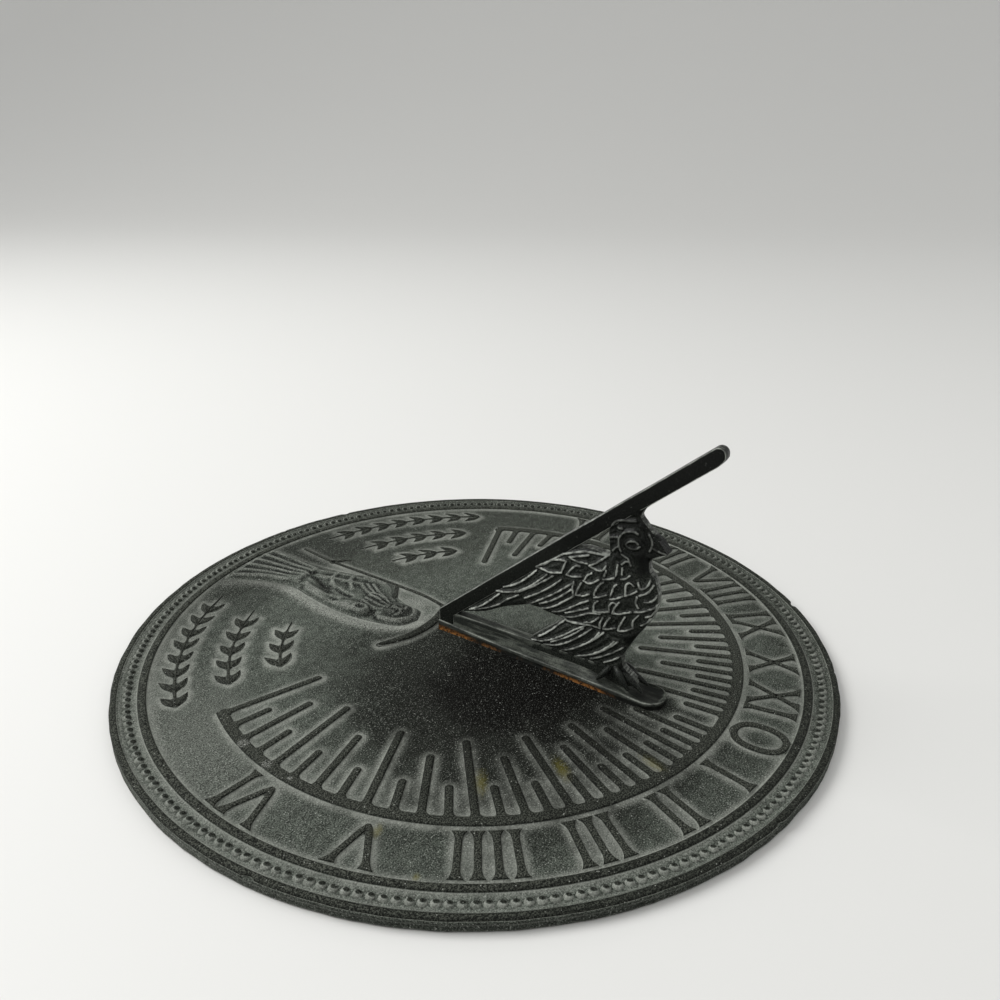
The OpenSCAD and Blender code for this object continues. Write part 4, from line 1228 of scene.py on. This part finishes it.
def footSection(y, centre, radius):
    # right half of the foot's section at y, as (x, height, distance from an edge, how low it lies, which also
    # carries painted shade in the hollow at the nose)
    root, nose = gnomon["root"], foot["nose"]
    narrow = foot["rootWidth"] / 2
    half = narrow + (radius - narrow) * min(1, (y - root) / (centre - root)) ** 1.4
    if y > centre:
        half = math.sqrt(radius ** 2 - (y - centre) ** 2)
    side = foot["side"] + (foot["sideRoot"] - foot["side"]) * max(0, 1 - (y - root) / 36) ** 1.6
    crest = foot["crest"] * (1 - fadeBetween(40, 71, y) * 0.72)
    hollow = fadeBetween(58, 66, y) * (1 - fadeBetween(nose - 2.4, nose - 1.0, y))
    side = min(side, max(crest, foot["lip"]))
    crest = crest * (1 - hollow) + foot["bowl"] * hollow if y < nose - 1 else side
    web = min(foot["web"], half * 0.6)
    shoulder = half - 0.5 - 0.35 * (half - web) * (1 - hollow)
    section = [(half + 0.25, -0.15, 0.6, 1.0), (half, 0.35, 0.6, 1.0), (half - 0.03, side * 0.5, 0.6, 0.6),
               (half - 0.08, side - 0.5, 0.35, 0.15), (half - 0.3, side - 0.1, 0.05, 0),
               (half - 0.75, side + 0.08, 0.4, 0), (shoulder, (side + crest) / 2 - 0.12, 0.9, 0.4 * hollow),
               (web + 0.1, crest - 0.25, 0.8, 0.6 * hollow), (web * 0.6, crest, 0.5, 0.6 * hollow),
               (0, crest + 0.04, 0.5, 0.6 * hollow)]
    uneven = 0.06 * wander(y, 0.0, 19, 2)
    return [(max(x, 0), z + uneven, edge, low) for x, z, edge, low in section]


def makeFoot():
    radius = foot["noseWidth"] / 2
    centre = foot["nose"] - radius
    stations = list(np.linspace(gnomon["root"], centre, 46))
    stations += [centre + radius * math.sin(a) for a in np.linspace(0.06, math.pi / 2 - 0.05, 16)]
    rings, values, lowsAndHollowShade = [], [], []
    for y in stations:
        section = footSection(y, centre, radius)
        ring = section + [(-x, z, edge, low) for x, z, edge, low in section[-2::-1]]
        rings.append(np.array([(x, y, ground + z) for x, z, edge, low in ring]))
        values += [edge for x, z, edge, low in ring]
        lowsAndHollowShade += [low for x, z, edge, low in ring]
    points, faces = ringMesh(rings, capped=True)
    return points, faces, values, lowsAndHollowShade


points, faces, values, lowsAndHollowShade = makeFoot()
footParts = Parts()
footParts.add(points, faces, values)
wallTop, wallEnd = ground + gnomon["wall"], sideAt([(76, 0)])[0][0]
wallCorners = [(gnomon["root"], ground), (wallEnd, ground), (wallEnd, ground + foot["side"]),
               (sideAt([(70, 0)])[0][0], wallTop), (gnomon["root"] + gnomon["depth"], wallTop),
               (gnomon["root"], wallTop - gnomon["depth"] / 2)]
points, faces, edge = raisedForm(evenSteps(wallCorners, 2.5), wallRound)
footParts.add(upright(points), faces, edge)
lowsAndHollowShade = np.append(lowsAndHollowShade, np.zeros(len(points)))
footPiece = footParts.make("gnomon_foot", footIron, "gnomon_iron", low=lowsAndHollowShade)
print("style and foot made")

# Perched bird: feathers as lines of (toward noon, up), read off the side that faces the viewer;
# linesAt brings them to the noon plane and to the part's zero
bird = {"cell": 0.27, "box": ((-8, 3.4), (73, 82)), "web": 1.95, "edge": 1.1, "body": 0.8, "wing": 0.7,
        "tail": 0.75, "most": 3.2, "rib": 0.42, "ribWidth": 0.46, "groove": 0.4, "grooveAt": 1.15,
        "linesAt": (1.27, 5.04), "eye": (59.7, 59.15), "eyeRadius": 1.1, "beakHalf": 1.9, "plainBelow": 11.4}
birdLines = {
    "head": [
        [(48.8, 56.8), (50.2, 58.2), (52, 60.3), (54, 61.2), (56, 61.5), (58.7, 62.0)],
        [(59.7, 58.2), (58.7, 58.6), (57, 58.3), (55.4, 57.7), (54.3, 56.4), (53.6, 55), (53.9, 52.5),
         (54.7, 51)],
        [(56.2, 53.9), (57.4, 55.2), (59.2, 55.5), (60.2, 54.9)],
        [(56.2, 53.9), (56.8, 53.1), (58.3, 52.8), (59.8, 53.2), (60.8, 54.2)],
        [(50, 54.2), (51.5, 54.8), (53, 55.4)], [(51.5, 50.1), (52.4, 51.3), (53.8, 52.5)],
        [(53, 58.5), (54.4, 58.5)],
        [(55.1, 50), (56.3, 49.5), (57.4, 49), (58.3, 46.8)], [(55.3, 46.6), (56.5, 47.8), (57.6, 48.2)],
        [(53.9, 46), (53.7, 44), (53.6, 42)], [(55.6, 45.3), (55.6, 43)],
        [(58.3, 43.3), (57, 42), (55.4, 41.2)],
        [(63.3, 58.6), (64.4, 57), (64.6, 55), (63.9, 53.2)], [(64.4, 54.6), (66.8, 53.9), (69, 53.5)]],
    "scales": [
        [(49.6, 47.4), (46.5, 44.5), (44.1, 42.8)], [(43.9, 42.6), (46, 42.2), (48.8, 42.6), (50, 44.5)],
        [(49.7, 40.8), (50.3, 43)], [(49.4, 39.6), (51.5, 40.3), (53.3, 41.4)],
        [(57.3, 35.9), (57.2, 38), (57.2, 39.7), (58.5, 40.9), (59.8, 40.2)],
        [(57.3, 35.9), (59, 36.9), (61, 38.6)],
        [(61.3, 41.8), (61.7, 40.2), (62.5, 39.7), (64, 40.8), (65, 43.2)],
        [(62, 37.3), (64, 38.5), (65.3, 40), (66.1, 41.8)],
        [(63.9, 35.5), (65.8, 36), (67, 37.5), (67.4, 38.6)],
        [(61.2, 36.5), (61, 34.5), (61.9, 32.8)],
        [(60.8, 30.9), (63, 31.7), (65, 32.7), (66.6, 33.7), (67.6, 35)],
        [(64.5, 30.0), (66, 30.8), (67, 32.2), (67.5, 33.8)], [(63.2, 26.5), (64.8, 27.8), (66, 29.6)],
        [(52.3, 33.2), (54.5, 34.2), (56.5, 35.6)], [(52.4, 34.6), (53.3, 38), (54.2, 39.2)],
        [(46.6, 32.1), (48.5, 32.9), (50.8, 34.3)], [(46.5, 33), (47.2, 35.5), (48.5, 37.5), (49.6, 38.6)],
        [(42.2, 36.7), (44.5, 36.6), (46, 37.4), (47.8, 39)], [(42.6, 37.2), (43.6, 39.2), (45.2, 40.6)],
        [(24, 36.3), (27, 38.5), (31, 41.5), (34, 43.8), (38, 45.7), (42, 47), (46, 47.3), (49.8, 47.6)],
        [(26.8, 37.8), (29, 39.8), (31.5, 41.2), (34.8, 42)],
        [(24, 36.2), (27, 36.3), (30, 36.1), (34, 37.2)],
        [(34, 37.4), (34.6, 39.5), (35.6, 41.8)], [(35.8, 37), (37.5, 39.5), (39, 41.2), (40.6, 41.5)],
        [(35.8, 37), (38, 37), (41.2, 37.9)], [(37, 43.6), (40, 43), (43.2, 43.3)],
        [(36.5, 43.7), (40, 45), (43.4, 46.2)],
        [(38.6, 30.4), (38.3, 33), (38.6, 35.2)], [(39.6, 30.6), (40.2, 33), (41.4, 35.6)],
        [(39.6, 30.6), (42, 31.1), (44.8, 32.8)],
        [(46.6, 26.9), (46.7, 29.5), (48, 31.2)], [(46.5, 26.9), (49, 27.3), (52, 28.4)],
        [(52.3, 28.3), (52.1, 30.5), (53.3, 32.3), (55, 32)], [(53.2, 28.3), (56, 28.9), (59.7, 30.6)],
        [(53.5, 28.5), (54.2, 31), (55.4, 33)],
        [(50.2, 21.2), (52, 21.7), (54.4, 22.9)], [(50.4, 21.8), (51.3, 24), (52.6, 26.4)],
        [(49.2, 21), (49.1, 23), (50.2, 25.6)],
        [(55.6, 22.3), (58, 23), (60.6, 24.9)], [(55.6, 22.5), (56.3, 25), (57.6, 28)],
        [(60.6, 25), (60.5, 27.5), (62.3, 30.2)]],
    "primaries": [
        [(-3.5, 10.8), (0, 12.9), (4, 16), (8, 20), (9.6, 21.5)],
        [(-1, 11.8), (5, 14.4), (9.5, 17.3), (13, 20.5), (17.5, 23.6)],
        [(11, 15.9), (16, 17.8), (20, 20.1), (24, 23), (29, 26.6), (33, 29.8), (38.2, 34.6)],
        [(8, 22), (12, 23), (16, 24.5), (20, 27), (24, 30.3), (28.6, 35)],
        [(11, 24.5), (15, 26.6), (19, 29.6), (24, 34.9)],
        [(24.3, 20.2), (28, 21.6), (32, 24), (36, 27.4), (38.8, 29.9)],
        [(30.8, 21), (34, 22.5), (38, 25.3), (42, 28.5), (44.6, 30.2)],
        [(33.8, 20.2), (37, 21), (41, 23), (45, 25.7), (49, 26.6)],
        [(26, 22.9), (30, 25.2), (34, 28.3), (37.8, 32)],
        [(36, 22.6), (40, 24.6), (44.6, 27.4)], [(43, 21), (46, 22.5), (48.7, 25.2)],
        [(20, 23.2), (25, 26.6), (30, 30.7), (34, 34.7)], [(17, 24.6), (22, 27.9), (27, 31.8), (31, 35.2)]],
    "tail": [
        [(22.9, 7.2), (27, 8.3), (32, 11), (36, 14), (40, 17.5), (43.5, 20)],
        [(25.5, 9.5), (29, 12.3), (32, 15.5), (35, 18.7)],
        [(28, 7.2), (33, 8.8), (38, 12), (42, 15.5), (46, 19.6)], [(31, 9.4), (35, 12), (39, 15), (43, 19)],
        [(35, 7.2), (39, 9.3), (43, 12.3), (47, 15.8), (50.5, 19.8)],
        [(41, 7), (45, 8.8), (49, 11.5), (53, 15), (55.8, 18.2)],
        [(38, 8.7), (42, 11.6), (46, 15), (49, 19.3)], [(46, 7.6), (50, 10), (54, 13), (57.6, 16.2)],
        [(44, 8.2), (48, 11), (52, 14.6), (54.6, 18)], [(51, 8), (54, 10), (57, 12.6)],
        [(34, 19.5), (37, 19.3), (40, 19.8), (44, 20.5), (49, 21)]],
}
birdOutline = np.vstack([
    sideAt([(73, 70.5), (83, 80), (81.1, 74)]),
    smoothCurve(sideAt([(79, 71.6), (77.9, 68.8), (79.3, 66.5), (81.1, 64.5), (83.7, 62.2)])),
    sideAt([(86.9, 57.8)]),
    smoothCurve(sideAt([(83.6, 55.9), (81.6, 53.7), (81.8, 49.6), (83.4, 47.7), (84.7, 43.9), (85.1, 40.3),
                        (84.6, 35.3), (82.7, 29.9), (79.7, 24.1), (76.7, 17.4), (75.2, 13.6)]), 3),
    sideAt([(76, 9.6), (79.9, 6.4), (80.6, 4.2), (75.8, 1), (43.8, 1), (43.8, 9.4), (55.3, 21.4)]),
    smoothCurve(sideAt([(56, 21.9), (50.2, 22), (43.8, 22.8), (39.3, 21.1), (33.2, 18), (26.3, 13.5),
                        (17.6, 10.2)]), 3),
    sideAt([(20.1, 16), (57.5, 53.5)]),
    smoothCurve(sideAt([(58.9, 51.6), (63.9, 52.1), (69.2, 51.3)]), 4),
    smoothCurve(sideAt([(69.4, 52.4), (68.9, 56.7), (68.6, 61), (69.4, 66.3)]), 4)])[::-1]
bodyOutline = smoothCurve(sideAt([
    (72, 64), (78, 64.5), (80.5, 60), (79.8, 54), (80, 48), (82.6, 43.5), (83, 38), (81.4, 30), (77.6, 22),
    (74, 16), (68, 21), (62, 27), (62, 38), (66, 47), (70.6, 52), (70.4, 58), (72, 64)]), 4)[:-1]
wingOutline = np.vstack([
    smoothCurve(sideAt([(60.5, 50.5), (68, 49.6), (73.5, 44), (76, 36), (73, 27), (66, 23.4), (57, 23.2),
                        (44, 23.6), (33, 18.8), (24, 13.6), (19.6, 11)]), 4),
    sideAt([(45.5, 38), (57, 49.4)])])
tailOutline = smoothCurve(sideAt([
    (73, 21), (72, 14), (62, 9.8), (46, 9.6), (57.5, 21), (64, 23), (73, 21)]), 4)[:-1]


def domed(distance, width):
    return np.sqrt(np.clip(1 - (1 - np.clip(distance / width, 0, 1)) ** 2, 0, 1))


def nearBird(y, z):
    return outlineDistance(y, z, birdOutline)[0] > -0.85 * bird["cell"]


def makeBird():
    flat, quads = gridNet(*bird["box"], bird["cell"], nearBird)
    inside, nearY, nearZ = outlineDistance(flat[:, 0], flat[:, 1], birdOutline)
    # points near the outline are drawn onto it
    snap = inside < 0.2 * bird["cell"]
    flat[snap] = np.column_stack([nearY, nearZ])[snap]
    y, z = flat[:, 0], flat[:, 1]
    inside = np.maximum(inside, 0)
    half = bird["edge"] + (bird["web"] - bird["edge"]) * domed(inside, 1.5)
    half += bird["body"] * domed(outlineDistance(y, z, bodyOutline)[0], 4.5)
    half += bird["wing"] * domed(outlineDistance(y, z, wingOutline)[0], 3)
    half += bird["tail"] * domed(outlineDistance(y, z, tailOutline)[0], 2.5) * (z < 28)
    half = np.minimum(half, bird["most"])
    line = np.full(len(y), 9.0)
    for group in birdLines.values():
        for points in group:
            line = np.minimum(line, lineDistance(y, z, smoothCurve(np.add(points, bird["linesAt"]), 3)))
    ribs = bird["rib"] * bellOf(line, 0, bird["ribWidth"])
    ribs -= bird["groove"] * bellOf(line, bird["grooveAt"], 0.6)
    half += fadeBetween(0.1, 1.0, inside) * ribs
    eye = np.hypot(y - bird["eye"][0], z - bird["eye"][1]) / bird["eyeRadius"]
    half += 0.35 * np.sqrt(np.clip(1 - eye ** 2, 0, 1))
    # the beak is solid and dark, with its mouth line only
    beak = fadeBetween(63.5, 65.5, y) * fadeBetween(54, 56, z) * fadeBetween(64, 62, z)
    half = np.maximum(half, bird["beakHalf"] * beak)
    # the outline's edges are pale: worn, and a painted highlight; the beak is left dark
    worn = inside + 0.22 + 0.8 * beak
    # below the tail there is plain web, as grey as the wall
    line = np.where(z > bird["plainBelow"], line, np.clip(line, 1.3, 1.8))
    points, faces = sheetSolid(flat, quads.tolist(), half, -half)
    return makePiece("perched_bird", upright(points), faces, gnomonIron, "gnomon_iron", sharp=75,
                     line=np.tile(line, 2), edge=np.tile(worn, 2))


birdPiece = makeBird()


def tubeOf(path, radii, sides=10):
    p = smoothCurve(path, 4)
    r = np.interp(np.linspace(0, 1, len(p)), np.linspace(0, 1, len(radii)), radii)
    turn = np.arange(sides)[:, None] * 2 * math.pi / sides
    rings = []
    for i in range(len(p)):
        d = p[min(i + 1, len(p) - 1)] - p[max(i - 1, 0)]
        d /= np.linalg.norm(d)
        u = np.cross(d, [0, 0, 1.0])
        u /= np.linalg.norm(u)
        rings.append(p[i] + r[i] * (np.cos(turn) * u + np.sin(turn) * np.cross(u, d)))
    return ringMesh([p[:1]] + rings + [p[-1:]])


toes = {"radius": [1.1, 1.25, 0.9, 0.35], "paths": [
    [(1.4, 56.4, 12.2), (3.2, 58.6, 10.9), (4.1, 60.8, 9.0), (4.5, 62.6, 7.0)],
    [(1.4, 54.4, 11.6), (3.0, 53.2, 10.0), (3.9, 52.0, 8.4), (4.2, 50.8, 6.9)],
    [(0.8, 58.0, 11.4), (1.7, 61.6, 9.8), (2.2, 64.6, 8.2), (2.5, 66.8, 6.6)]]}
toeParts = Parts()
for path in toes["paths"]:
    for side in (1, -1):
        points, faces = tubeOf([(x * side, y, z) for x, y, z in path], toes["radius"])
        # the toes are paler high up, toward the body: a painted highlight
        toeParts.add(points, faces, np.interp(points[:, 2], [9.5, 13.5], [0.7, 0.2]))
toePiece = toeParts.make("bird_toes", gnomonIron, "gnomon_iron", line=np.full(toeParts.count, 2.4))
for piece in (stylePiece, footPiece, birdPiece, toePiece):
    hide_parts("gnomon")
frame["nodes"]["fixing_screws"].data.materials[0] = screwSteel
print("bird made")


# Table, light and camera; lengths here are in metres
stage = {"table": "#dededb", "side": 4.0, "forward": (-0.844, -0.536), "curveAt": 1.2, "curve": 1.4, "top": 3.4,
         "room": 0.86, "darkSide": 0.42, "darkToward": (0.62, 0.78, 0), "lamp": 11.0, "lampSize": 0.8,
         "lampAt": (0.32, -0.78, 0.92), "lampAim": (0, 0, 0.02)}


def makeTable():
    # a pale sheet that runs away from the viewer and curves up behind
    away, curve = stage["forward"], stage["curve"]
    profile = [(d, 0.0) for d in (-1.6, -0.6, 0, 0.6, stage["curveAt"])]
    for a in np.linspace(0.1, 1.57, 14):
        profile.append((stage["curveAt"] + curve * math.sin(a), curve - curve * math.cos(a)))
    profile.append((stage["curveAt"] + curve, stage["top"]))
    points = []
    for d, z in profile:
        for s in (-stage["side"] / 2, 0, stage["side"] / 2):
            points.append((away[0] * d + away[1] * s, away[1] * d - away[0] * s, z))
    corners = [i * 3 + j for i in range(len(profile) - 1) for j in range(2)]
    faces = [(k, k + 1, k + 4, k + 3) for k in corners]
    table = meshObject("table", np.array(points) / mm, faces, {})
    table.data.polygons.foreach_set("use_smooth", [True] * len(table.data.polygons))
    material, tree, shader, place = newFinish("White laminate")
    shader.inputs["Base Color"].default_value = linearColour(stage["table"])
    shader.inputs["Roughness"].default_value = 0.6
    table.data.materials.append(material)


makeTable()
world = bpy.data.worlds.new("soft room")
world.use_nodes = True
air = world.node_tree
air.nodes["Background"].inputs["Color"].default_value = (1, 1, 1, 1)
heading = addNode(air, "ShaderNodeTexCoord").outputs["Generated"]
toward = addNode(air, "ShaderNodeVectorMath", {0: heading, 1: stage["darkToward"]}, operation="DOT_PRODUCT")
light = coverOf(air, (toward.outputs["Value"], -0.2, 0.9, stage["room"], stage["darkSide"]))
air.links.new(light, air.nodes["Background"].inputs["Strength"])
bpy.context.scene.world = world

glow = bpy.data.lights.new("soft window", "AREA")
glow.shape, glow.size, glow.energy = "DISK", stage["lampSize"], stage["lamp"]
lamp = bpy.data.objects.new("soft window", glow)
lamp.location = stage["lampAt"]
lamp.rotation_euler = (Vector(stage["lampAim"]) - lamp.location).to_track_quat("-Z", "Y").to_euler()
bpy.context.scene.collection.objects.link(lamp)

# the viewer's place in millimetres, and which way is right and up in the picture
view = {"place": (235.629, 158.813, 183.628), "right": (-0.539048, 0.842239, 0.007799),
        "up": (-0.334524, -0.22258, 0.915725), "lens": 32.4}
eye = bpy.data.cameras.new("view")
eye.lens, eye.sensor_width, eye.clip_start = view["lens"], 36, 0.01
viewer = bpy.data.objects.new("view", eye)
right, up = Vector(view["right"]), Vector(view["up"])
turned = Matrix((right, up, right.cross(up))).transposed().to_4x4()
viewer.matrix_world = Matrix.Translation(Vector(view["place"]) * mm) @ turned
bpy.context.scene.collection.objects.link(viewer)
bpy.context.scene.camera = viewer
bpy.context.scene.view_settings.view_transform = "Standard"

print("camera and light set")
